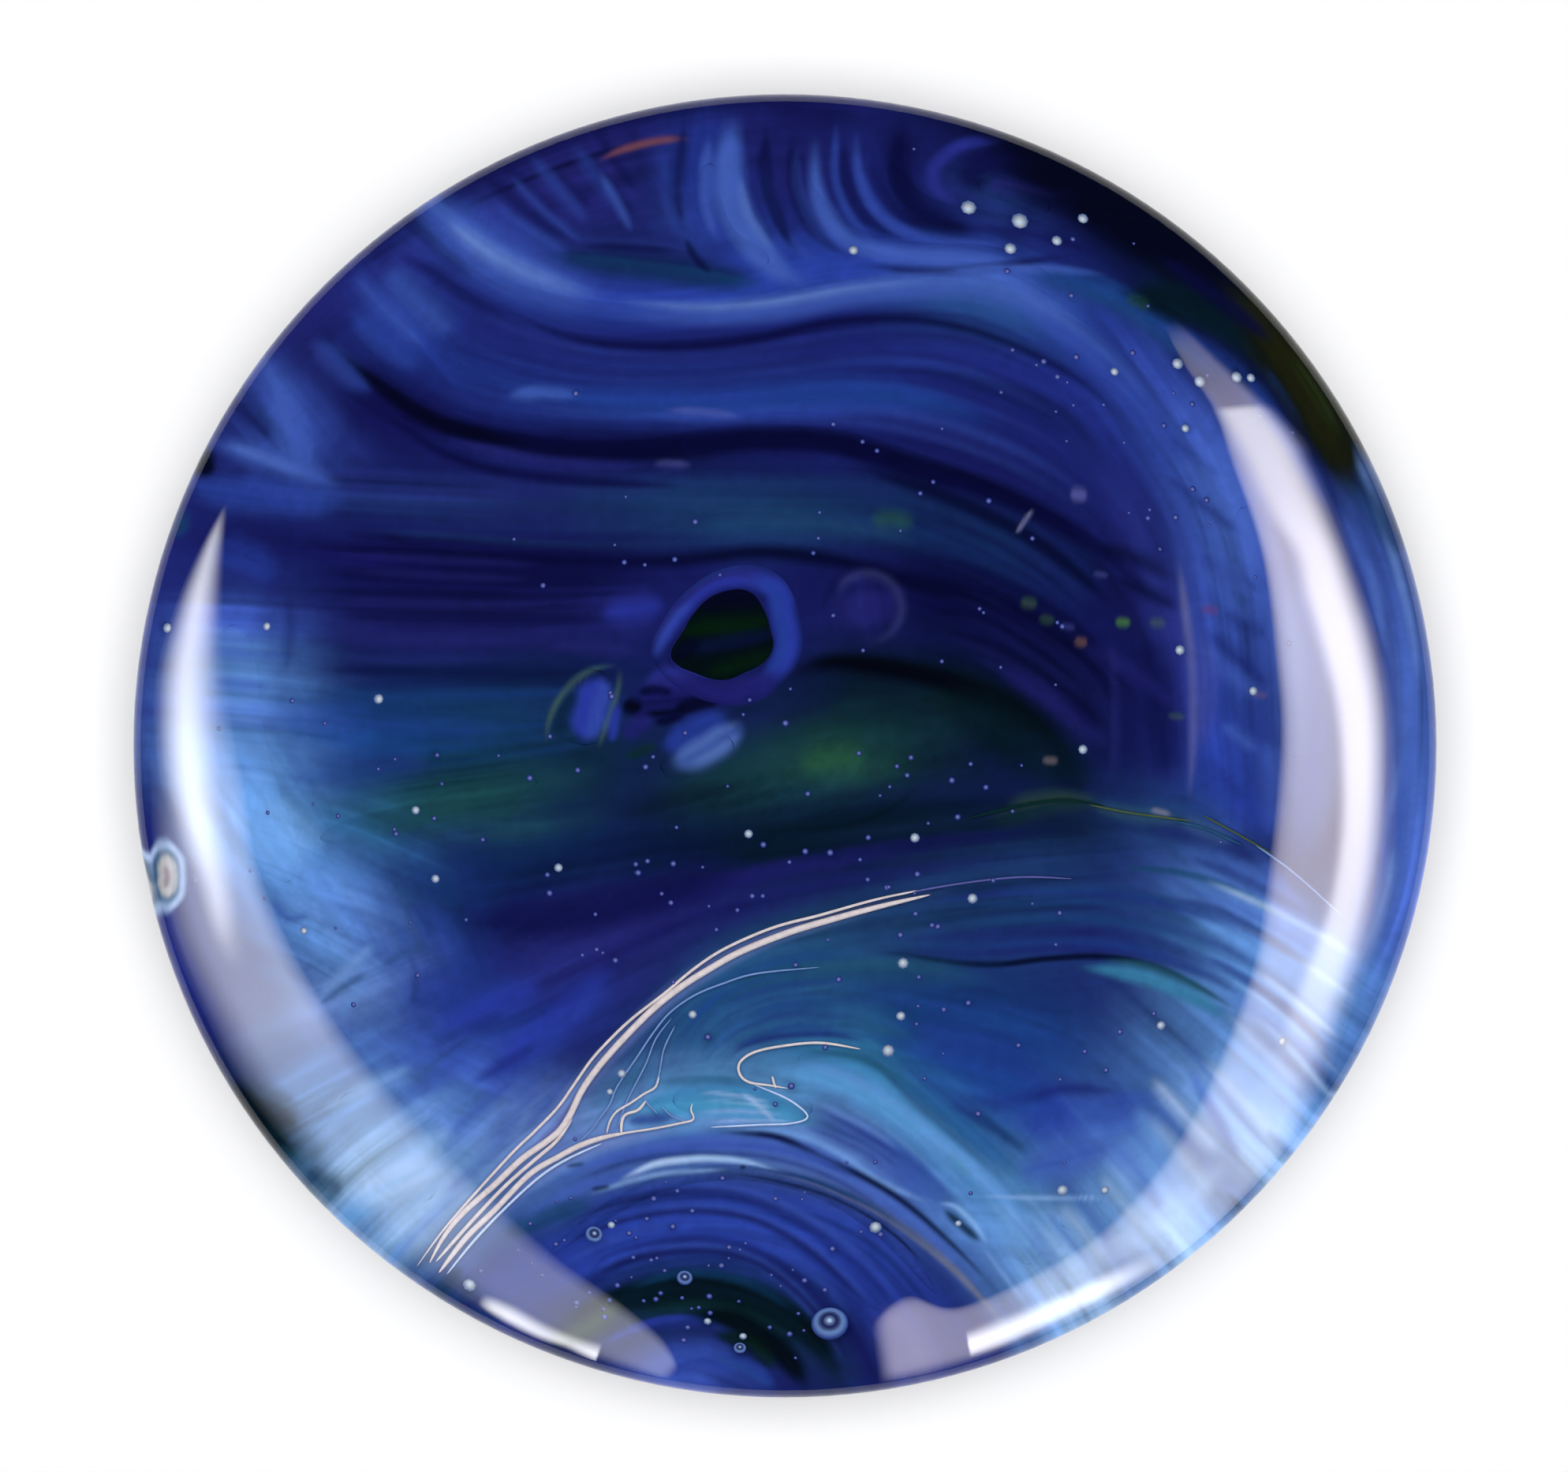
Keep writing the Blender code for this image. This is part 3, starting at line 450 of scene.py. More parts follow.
    ("sky", "steel", 6, 10, 0.5, ((430, 1290), (450, 1262), (470, 1240))),
    ("teal", "deep", 3, 6, 0.4, ((515, 1205), (528, 1235), (522, 1280))),
    ("teal", "slate", 4, 6, 0.6, ((404, 1276), (436, 1252), (470, 1232))),
    ("teal", "slate", 3, 6, 0.45, ((480, 1226), (512, 1208), (550, 1195))),
    # Lower left fan
    ("sky", "pale", 8, 11, 0.5, ((400, 1400), (480, 1360), (560, 1330)), ((470, 1560), (560, 1490),
        (640, 1430)), 4),
    ("steel", "corn", 7, 10, 0.5, ((440, 1350), (520, 1330), (600, 1300)), ((560, 1540), (630, 1470),
        (710, 1370)), 4),
    ("steel", "sky", 7, 7, 0.7, ((470, 1630), (530, 1560), (600, 1495))),
    ("aqua", "sky", 12, 12, 0.6, ((425, 1555), (465, 1525), (520, 1490))),
    ("pale", "ice", 14, 16, 0.5, ((440, 1530), (500, 1500), (570, 1470))),
    ("black_green", "ink", 16, 13, 0.95, ((290, 1365), (325, 1415), (362, 1458))),
    ("black_green", "pine", 26, 26, 0.85, ((300, 1398), (345, 1412), (385, 1430))),
    ("pine", "fern", 18, 24, 0.6, ((325, 1440), (375, 1452), (420, 1462))),
    ("black_green", "teal", 14, 18, 0.75, ((385, 1480), (410, 1495), (440, 1505))),
    # Bands under the cream threads, right half
    ("cobalt", "deep", 7, 7, 0.7, ((1100, 1160), (1220, 1140), (1330, 1132), (1440, 1140), (1550, 1175),
        (1640, 1230)), ((1080, 1205), (1200, 1205), (1330, 1198), (1440, 1206), (1540, 1240),
        (1620, 1300)), 4),
    ("azure", "tealblue", 6, 7, 0.6, ((1180, 1135), (1300, 1122), (1420, 1122), (1530, 1150),
        (1640, 1205)), ((1100, 1195), (1220, 1196), (1340, 1190), (1440, 1200), (1540, 1240)), 4),
    ("tealblue", "azure", 12, 9, 0.8, ((860, 1310), (920, 1255), (1010, 1222), (1120, 1214))),
    ("sea", "tealblue", 12, 10, 0.8, ((880, 1300), (950, 1250), (1050, 1230), (1160, 1232),
        (1280, 1245))),
    ("royal", "azure", 7, 8, 0.5, ((1000, 1262), (1150, 1268), (1300, 1280), (1420, 1300)), ((1060, 1300),
        (1180, 1330), (1290, 1370), (1380, 1420)), 3),
    ("black_green", "navy", 4, 3, 0.95, ((1070, 1203), (1140, 1209), (1205, 1219), (1265, 1222),
        (1325, 1215), (1400, 1212), (1470, 1226), (1530, 1256), (1590, 1295))),
    ("sea", "aqua", 10, 7, 0.9, ((1360, 1224), (1440, 1236), (1505, 1260), (1570, 1300))),
    ("moss", "sea", 4, 4, 0.8, ((1390, 1216), (1450, 1224), (1510, 1247), (1565, 1280))),
    ("teal", "sea", 5, 4, 0.8, ((1400, 1098), (1490, 1105), (1560, 1125), (1640, 1170))),
    ("steel", "sky", 7, 8, 0.7, ((1450, 1085), (1550, 1110), (1650, 1160), (1740, 1220)), ((1500, 1240),
        (1580, 1280), (1650, 1340), (1690, 1400)), 5),
    ("pale", "ice", 4, 5, 0.6, ((1520, 1120), (1610, 1160), (1690, 1205), (1750, 1245)), ((1560, 1270),
        (1620, 1315), (1680, 1385), (1700, 1420)), 5),
    ("royal", "deep", 5, 5, 0.7, ((1440, 1075), (1540, 1100), (1640, 1150), (1720, 1200)), ((1500, 1250),
        (1570, 1285), (1640, 1345), (1690, 1410)), 5),
    ("indigo", "deep", 14, 12, 0.7, ((1440, 1046), (1530, 1062), (1610, 1100))),
    # Right field lines
    ("cobalt", "deep", 6, 10, 0.5, ((1430, 500), (1500, 560), (1600, 640)), ((1530, 768), (1568, 792),
        (1612, 814)), 4),
    ("steel", "corn", 8, 11, 0.55, ((1470, 540), (1540, 610), (1606, 690)), ((1530, 900), (1568, 930),
        (1612, 962)), 5),
    ("indigo", "cobalt", 9, 11, 0.6, ((1526, 796), (1564, 832), (1612, 872))),
    ("deep", "royal", 10, 12, 0.6, ((1528, 955), (1552, 990), (1590, 1022))),
    ("indigo", "navy", 24, 22, 0.8, ((1440, 780), (1472, 880), (1482, 1010))),
    ("black", "ink", 9, 11, 0.7, ((1380, 688), (1442, 708), (1498, 738))),
    ("black", "navy", 9, 11, 0.65, ((1408, 732), (1450, 750), (1498, 776))),
    ("ink", "navy", 8, 10, 0.6, ((1250, 768), (1300, 786), (1356, 812))),
    ("plum", "violet", 8, 12, 0.5, ((1365, 812), (1442, 856), (1498, 904))),
    ("plum", "violet", 9, 13, 0.55, ((1260, 842), (1338, 892), (1414, 954))),
    ("ink", "night", 12, 12, 0.6, ((1350, 868), (1376, 900), (1402, 926))),
    ("black_green", "pine", 18, 16, 0.6, ((1335, 935), (1358, 975), (1376, 1010))),
    ("lilac", "grey", 6, 6, 0.5, ((1492, 700), (1503, 780), (1511, 850), (1512, 930), (1506, 1030))),
    ("plum", "lilac", 9, 11, 0.4, ((1524, 790), (1530, 860), (1524, 960))),
    ("lilac", "plum", 3, 6, 0.3, ((1408, 800), (1414, 900), (1410, 1000))),
    ("royal", "iris", 18, 16, 0.5, ((1560, 1000), (1590, 1030), (1610, 1060))),
    ("steel", "haze", 6, 8, 0.6, ((1690, 540), (1750, 680), (1785, 820), (1795, 960)), ((1740, 760),
        (1760, 880), (1760, 1000), (1740, 1120)), 3),
    ("royal", "cobalt", 6, 7, 0.6, ((1700, 540), (1770, 700), (1800, 850), (1805, 960)), ((1730, 740),
        (1752, 860), (1752, 1000), (1735, 1110)), 3),
    ("teal", "navy", 16, 14, 0.7, ((1680, 575), (1718, 615), (1750, 660), (1772, 715))),
    ("steel", "corn", 12, 12, 0.7, ((1690, 630), (1722, 700), (1742, 760), (1755, 830))),
    ("corn", "steel", 14, 16, 0.6, ((1600, 930), (1608, 1000), (1606, 1070))),
    ("haze", "steel", 12, 14, 0.6, ((1770, 1060), (1750, 1150), (1715, 1240))),
    ("haze", "steel", 34, 30, 0.45, ((1626, 700), (1655, 850), (1662, 1000), (1640, 1110))),
    ("olive", "forest", 8, 10, 0.5, ((1246, 1042), (1298, 1029), (1346, 1018), (1392, 1022))),
    ("olive", "sea", 6, 9, 0.55, ((1376, 1020), (1430, 1031), (1474, 1037), (1512, 1042))),
    ("grey", "lilac", 4, 4, 0.7, ((1456, 1025), (1470, 1029), (1486, 1034))),
    ("haze", "sea", 7, 10, 0.4, ((1490, 1040), (1522, 1049), (1566, 1070))),
    # Dark streaks at the upper right
    ("royal", "teal", 14, 12, 0.7, ((1440, 405), (1520, 440), (1590, 500), (1650, 590))),
    ("black_green", "pine", 26, 14, 0.95, ((1405, 370), (1450, 376), (1520, 392), (1580, 424),
        (1640, 480))),
    ("azure", "teal", 9, 10, 0.7, ((1600, 462), (1636, 505), (1660, 548))),
    ("olive", "moss", 6, 7, 0.4, ((1425, 378), (1460, 390))),
    ("black_green", "bark", 38, 12, 1.0, ((1535, 350), (1610, 425), (1655, 490), (1690, 560),
        (1720, 650))),
    ("bark", "bark", 20, 13, 0.6, ((1590, 415), (1638, 470), (1672, 530), (1694, 595))),
    ("olive", "dark_moss", 6, 8, 0.3, ((1630, 445), (1670, 505), (1700, 560))),
    ("ink", "navy", 12, 10, 0.8, ((1460, 320), (1550, 385), (1620, 440))),
    ("corn", "royal", 14, 12, 0.7, ((1560, 480), (1620, 545), (1690, 660))),
    # Haze that the threads lie in
    ("lilac", "haze", 10, 9, 0.75, ((536, 1606), (580, 1550), (626, 1500), (676, 1452), (716, 1406),
        (752, 1360), (790, 1318), (846, 1264), (906, 1222), (980, 1186), (1060, 1162), (1150, 1138))),
    ("lilac", "grey", 3, 4, 0.6, ((552, 1594), (606, 1530), (660, 1474), (704, 1430), (742, 1376),
        (780, 1330), (824, 1286), (880, 1238), (950, 1200), (1030, 1170), (1120, 1146), (1230, 1124))),
    ("haze", "lilac", 8, 8, 0.75, ((560, 1606), (610, 1552), (670, 1500), (730, 1462), (790, 1444),
        (850, 1432), (890, 1424))),
    ("haze", "lilac", 2, 3, 0.5, ((640, 1500), (690, 1452), (740, 1420), (770, 1384), (790, 1344)),
        ((690, 1480), (740, 1452), (782, 1430), (806, 1396), (836, 1340)), 5),
    # Lower middle
    ("royal", "azure", 40, 36, 0.7, ((1120, 1300), (1270, 1350), (1380, 1430))),
    ("iris", "royal", 30, 26, 0.6, ((1280, 1430), (1370, 1410), (1470, 1400))),
    ("deep", "cobalt", 6, 6, 0.7, ((1290, 1396), (1350, 1380), (1420, 1384))),
    ("deep", "indigo", 6, 6, 0.6, ((1190, 1390), (1260, 1430), (1310, 1470))),
    ("steel", "corn", 26, 24, 0.7, ((1280, 1490), (1350, 1470), (1420, 1450))),
    # Curls inside the hook
    ("sea", "fern", 8, 10, 0.6, ((836, 1320), (880, 1276), (925, 1248), (1000, 1230), (1120, 1220),
        (1250, 1228))),
    ("azure", "slate", 4, 6, 0.5, ((846, 1375), (866, 1322), (905, 1272), (980, 1240), (1100, 1226)),
        ((915, 1368), (920, 1340), (952, 1318), (1010, 1302), (1130, 1318)), 8),
    ("deep", "cobalt", 3, 4, 0.5, ((856, 1375), (878, 1318), (920, 1275), (990, 1250), (1100, 1240)),
        ((908, 1366), (916, 1338), (950, 1314), (1010, 1298), (1120, 1308)), 7),
    ("lake", "sea", 3, 5, 0.5, ((850, 1372), (872, 1322), (915, 1276), (990, 1250)), ((905, 1362),
        (912, 1338), (945, 1312), (1010, 1292)), 5),
    ("deep", "cobalt", 4, 4, 0.8, ((924, 1352), (932, 1334), (958, 1320), (1002, 1312), (1060, 1312),
        (1110, 1324))),
    ("cobalt", "azure", 9, 11, 0.5, ((1100, 1324), (1150, 1356), (1210, 1396), (1290, 1440))),
    ("teal", "slate", 6, 9, 0.6, ((1225, 1396), (1275, 1437), (1310, 1458))),
    ("deep", "cobalt", 8, 12, 0.5, ((1186, 1384), (1257, 1398), (1311, 1387), (1361, 1376),
        (1420, 1384))),
    # The plume
    ("lake", "sky", 18, 16, 0.8, ((950, 1350), (1025, 1360), (1080, 1376), (1143, 1416), (1200, 1460),
        (1257, 1508), (1300, 1560), (1340, 1620))),
    ("aqua", "sky", 9, 11, 0.7, ((960, 1353), (1030, 1364), (1090, 1386), (1150, 1424), (1190, 1455))),
    ("sea", "moss", 5, 5, 0.8, ((1000, 1330), (1060, 1336), (1100, 1347), (1150, 1374), (1210, 1420))),
    ("lake", "azure", 9, 10, 0.6, ((1128, 1362), (1180, 1392), (1220, 1428), (1250, 1456), (1290, 1490))),
    ("olive", "aqua", 4, 7, 0.5, ((1200, 1460), (1218, 1478), (1234, 1494))),
    ("corn", "royal", 5, 6, 0.7, ((1000, 1384), (1050, 1410), (1110, 1440), (1170, 1485), (1230, 1550)),
        ((960, 1420), (1030, 1432), (1090, 1458), (1150, 1500), (1200, 1545)), 4),
    ("deep", "cobalt", 3, 5, 0.6, ((1010, 1392), (1060, 1418), (1110, 1446), (1165, 1488)), ((1000, 1420),
        (1050, 1438), (1100, 1462), (1150, 1500)), 3),
    ("haze", "sky", 3, 4, 0.5, ((1016, 1390), (1054, 1404), (1114, 1436), (1170, 1480)), ((1090, 1384),
        (1140, 1416), (1200, 1470), (1260, 1540)), 3),
    ("sky", "pale", 5, 8, 0.5, ((1240, 1510), (1290, 1560), (1350, 1640)), ((1300, 1500), (1350, 1560),
        (1410, 1640)), 5),
    ("royal", "corn", 3, 6, 0.5, ((1262, 1540), (1300, 1590), (1340, 1650)), ((1310, 1520), (1350, 1570),
        (1390, 1620)), 4),
    ("haze", "pale", 3, 3, 0.5, ((1230, 1516), (1310, 1518), (1410, 1519))),
    # Teal fold
    ("lake", "aqua", 19, 7, 0.85, ((790, 1406), (850, 1398), (920, 1396), (985, 1406), (1045, 1424))),
    ("aqua", "lake", 9, 9, 0.6, ((820, 1384), (870, 1376), (920, 1373), (965, 1382), (1000, 1396))),
    ("aqua", "sea", 4, 6, 0.6, ((824, 1374), (870, 1368), (925, 1369), (965, 1380))),
    ("aqua", "sky", 7, 7, 0.7, ((850, 1412), (910, 1406), (970, 1408), (1020, 1418))),
    ("ice", "haze", 2, 3, 0.6, ((860, 1388), (910, 1386), (960, 1394), (1010, 1412)), ((880, 1421),
        (930, 1417), (980, 1418), (1018, 1420)), 4),
    ("ice", "haze", 3, 3, 0.6, ((938, 1384), (960, 1400), (986, 1424))),
    ("royal", "deep", 7, 6, 0.8, ((790, 1420), (822, 1418), (860, 1414))),
    ("sea", "lake", 14, 14, 0.5, ((740, 1410), (800, 1370), (830, 1325))),
    # Arcs at the bottom
    ("corn", "steel", 13, 9, 0.8, ((660, 1528), (740, 1478), (830, 1452), (930, 1444), (1020, 1458),
        (1100, 1500), (1180, 1564), (1250, 1650))),
    ("sky", "haze", 4, 4, 0.85, ((890, 1430), (971, 1432), (1021, 1441), (1071, 1466), (1114, 1496),
        (1157, 1516), (1190, 1528))),
    ("ink", "navy", 5, 4, 0.95, ((880, 1432), (940, 1435), (989, 1442), (1043, 1469), (1100, 1494),
        (1150, 1526), (1196, 1566), (1239, 1609), (1275, 1650))),
    ("steel", "corn", 7, 6, 0.8, ((690, 1500), (780, 1466), (880, 1450), (954, 1450), (1007, 1459),
        (1061, 1480), (1120, 1516))),
    ("corn", "steel", 9, 8, 0.8, ((640, 1570), (720, 1512), (800, 1484), (860, 1470))),
    ("deep", "cobalt", 4, 5, 0.7, ((700, 1510), (790, 1474), (890, 1462), (990, 1470), (1080, 1506),
        (1160, 1570))),
    ("pale", "ice", 4, 4, 0.85, ((780, 1498), (827, 1476), (871, 1469), (907, 1468), (950, 1473),
        (1000, 1488))),
    ("haze", "pale", 3, 4, 0.6, ((740, 1516), (800, 1496), (850, 1486), (930, 1482))),
    ("navy", "ink", 3, 3, 0.7, ((716, 1478), (744, 1474))),
    ("navy", "ink", 3, 3, 0.7, ((748, 1507), (776, 1503))),
    ("ink", "navy", 3, 3, 0.8, ((900, 1484), (980, 1496), (1060, 1520), (1130, 1562), (1190, 1620))),
    ("grey", "slate", 5, 4, 0.85, ((940, 1478), (985, 1486), (1025, 1495), (1071, 1513), (1121, 1539),
        (1171, 1575), (1214, 1613), (1257, 1660), (1290, 1705))),
    ("black", "ink", 4, 3, 0.7, ((938, 1478), (946, 1480))),
    ("haze", "sky", 3, 3, 0.7, ((1243, 1576), (1275, 1619), (1307, 1659))),
    ("royal", "corn", 7, 6, 0.8, ((650, 1580), (740, 1522), (840, 1498), (940, 1502), (1040, 1545),
        (1120, 1610), (1180, 1700)), ((720, 1640), (790, 1598), (870, 1582), (940, 1592), (1000, 1630),
        (1050, 1690), (1080, 1760)), 4),
    ("deep", "indigo", 5, 5, 0.85, ((660, 1590), (745, 1534), (840, 1510), (940, 1514), (1030, 1556),
        (1110, 1622), (1165, 1700)), ((715, 1655), (790, 1608), (870, 1592), (945, 1602), (1005, 1642),
        (1060, 1710), (1085, 1770)), 4),
    ("teal", "tealblue", 12, 10, 0.8, ((630, 1575), (690, 1545), (760, 1522))),
    ("black_green", "pine", 19, 9, 1.0, ((680, 1700), (760, 1655), (830, 1634), (900, 1630), (970, 1650),
        (1035, 1700), (1080, 1775))),
    ("pine", "teal", 6, 5, 0.7, ((790, 1634), (870, 1614), (950, 1628), (1020, 1672))),
    ("royal", "deep", 9, 7, 0.8, ((745, 1712), (820, 1682), (890, 1676), (950, 1694))),
    ("iris", "royal", 5, 4, 0.7, ((760, 1704), (830, 1674), (890, 1668))),
    ("black_green", "black", 16, 9, 0.95, ((860, 1662), (930, 1672), (990, 1712), (1030, 1770))),
    ("black", "dark_moss", 12, 8, 0.8, ((900, 1690), (950, 1704), (985, 1740))),
    ("royal", "corn", 20, 14, 0.8, ((820, 1745), (890, 1720), (950, 1745))),
    ("sea", "royal", 9, 7, 0.7, ((900, 1716), (950, 1734), (985, 1762))),
    ("indigo", "deep", 12, 9, 0.8, ((1040, 1640), (1090, 1705), (1120, 1780))),
    ("cobalt", "royal", 14, 12, 0.7, ((1080, 1640), (1130, 1700), (1150, 1770))),
    ("plum", "lilac", 26, 20, 0.5, ((1110, 1650), (1150, 1710), (1170, 1770))),
    ("ink", "teal", 6, 4, 0.9, ((1192, 1528), (1214, 1548), (1246, 1576))),
    ("sky", "pale", 3, 3, 0.7, ((1186, 1524), (1212, 1530), (1238, 1556), (1254, 1582))),
    ("black_green", "teal", 12, 10, 0.8, ((520, 1650), (560, 1632), (590, 1600))),
    ("indigo", "teal", 20, 14, 0.8, ((560, 1660), (610, 1650), (660, 1670))),
    ("royal", "cobalt", 30, 18, 0.7, ((600, 1650), (660, 1612), (720, 1580))),
    ("black_green", "olive", 14, 10, 0.8, ((690, 1705), (740, 1690), (790, 1650))),
    # Lower right fan: streaks that run in from the rim
    ("pale", "ice", 7, 14, 0.45, ((1290, 1530), (1345, 1595), (1410, 1690)), ((1540, 1270), (1600, 1335),
        (1690, 1430)), 7),
    ("steel", "corn", 5, 10, 0.45, ((1260, 1510), (1320, 1575), (1380, 1660)), ((1490, 1300),
        (1550, 1375), (1630, 1480)), 6),
    ("sky", "haze", 10, 13, 0.6, ((1430, 1390), (1465, 1445), (1505, 1520))),
    ("royal", "steel", 7, 9, 0.7, ((1500, 1345), (1535, 1405), (1575, 1480))),
    ("corn", "steel", 10, 13, 0.6, ((1390, 1430), (1440, 1480), (1480, 1550))),
    ("pale", "ice", 16, 22, 0.5, ((1380, 1600), (1470, 1550), (1560, 1460))),
    ("teal", "black_green", 4, 5, 0.7, ((1552, 1508), (1572, 1530), (1592, 1552))),
    ("sea", "steel", 7, 9, 0.6, ((1600, 1430), (1630, 1460), (1660, 1490))),
    ("olive", "steel", 4, 6, 0.5, ((1650, 1310), (1690, 1350), (1720, 1390))),
    # Cells round the eye
    ("iris", "plum", 17, 14, 0.75, ((756, 780), (800, 773), (850, 766))),
    ("plum", "dusk", 7, 9, 0.55, ((690, 818), (760, 822), (820, 826))),
    ("iris", "plum", 17, 8, 0.85, ((812, 872), (860, 862), (905, 872))),
    ("violet", "night", 20, 12, 0.8, ((776, 900), (820, 890), (880, 884), (930, 886))),
    ("black", "ink", 11, 6, 0.9, ((788, 890), (802, 896), (816, 902))),
    ("ink", "black", 9, 6, 0.85, ((850, 900), (890, 892), (918, 886))),
    ("black", "ink", 6, 5, 0.9, ((800, 908), (840, 904), (880, 900))),
    ("ink", "navy", 6, 4, 0.9, ((826, 918), (850, 912), (872, 906))),
    ("navy", "ink", 5, 4, 0.8, ((806, 880), (830, 874), (856, 880))),
    ("violet", "dusk", 13, 9, 0.8, ((790, 940), (806, 922), (832, 908))),
    ("iris", "royal", 17, 10, 0.8, ((838, 954), (876, 932), (930, 908))),
    ("haze", "steel", 16, 10, 0.6, ((846, 970), (892, 952), (946, 916))),
    ("haze", "steel", 5, 9, 0.4, ((872, 970), (906, 954), (940, 928))),
    ("iris", "corn", 24, 10, 0.9, ((740, 946), (748, 900), (766, 852))),
    ("teal", "pine", 8, 9, 0.55, ((706, 940), (712, 905), (735, 872))),
    ("olive", "sea", 4, 4, 0.7, ((692, 950), (696, 916), (708, 888), (728, 864), (752, 849), (786, 843))),
    ("sea", "olive", 3, 4, 0.7, ((758, 952), (766, 924), (776, 896), (784, 868), (785, 844))),
    ("royal", "iris", 6, 6, 0.8, ((776, 944), (780, 915), (784, 890))),
    ("ink", "teal", 3, 4, 0.7, ((914, 886), (936, 899), (976, 896), (994, 878))),
    ("dark_moss", "forest", 5, 5, 0.8, ((790, 962), (815, 952), (836, 944))),
    # Specks in the dark
    ("olive", "glow", 5, 6, 0.9, ((1412, 788), (1434, 789))),
    ("olive", "moss", 6, 8, 0.6, ((1454, 789), (1480, 790))),
    ("olive", "moss", 6, 8, 0.55, ((1292, 763), (1316, 767))),
    ("olive", "moss", 5, 7, 0.45, ((1316, 783), (1338, 787))),
    ("olive", "rust", 4, 6, 0.6, ((1361, 813), (1379, 815))),
    ("rust", "lilac", 6, 8, 0.6, ((1355, 626), (1379, 629))),
    ("rust", "mauve", 4, 6, 0.45, ((1520, 771), (1546, 776))),
    ("rust", "lilac", 4, 5, 0.5, ((1584, 878), (1608, 883))),
    ("lilac", "plum", 3, 5, 0.5, ((1384, 727), (1406, 730))),
    ("lilac", "plum", 3, 5, 0.5, ((1342, 793), (1364, 796))),
    ("olive", "moss", 4, 5, 0.5, ((1478, 907), (1504, 910))),
    ("rust", "grey", 3, 5, 0.5, ((1320, 963), (1342, 965))),
    ("grey", "lilac", 2, 2, 0.9, ((1287, 678), (1310, 644))),
    ("plum", "lilac", 4, 7, 0.2, ((1062, 770), (1070, 740), (1100, 728), (1130, 742), (1142, 775),
        (1125, 805), (1095, 815))),
    # A bubble at the left rim, painted flat on the ground as rings of painted reflection and shade
    ("ice", "haze", 29, 5, 0.8, ((206, 1056), (212, 1110), (207, 1164))),
    ("sea", "teal", 21, 5, 0.9, ((207, 1066), (213, 1110), (208, 1154))),
    ("olive", "cream", 13, 5, 0.8, ((208, 1078), (214, 1110), (209, 1142))),
    ("rust", "lilac", 5, 4, 0.7, ((209, 1094), (213, 1111), (210, 1128))),
)


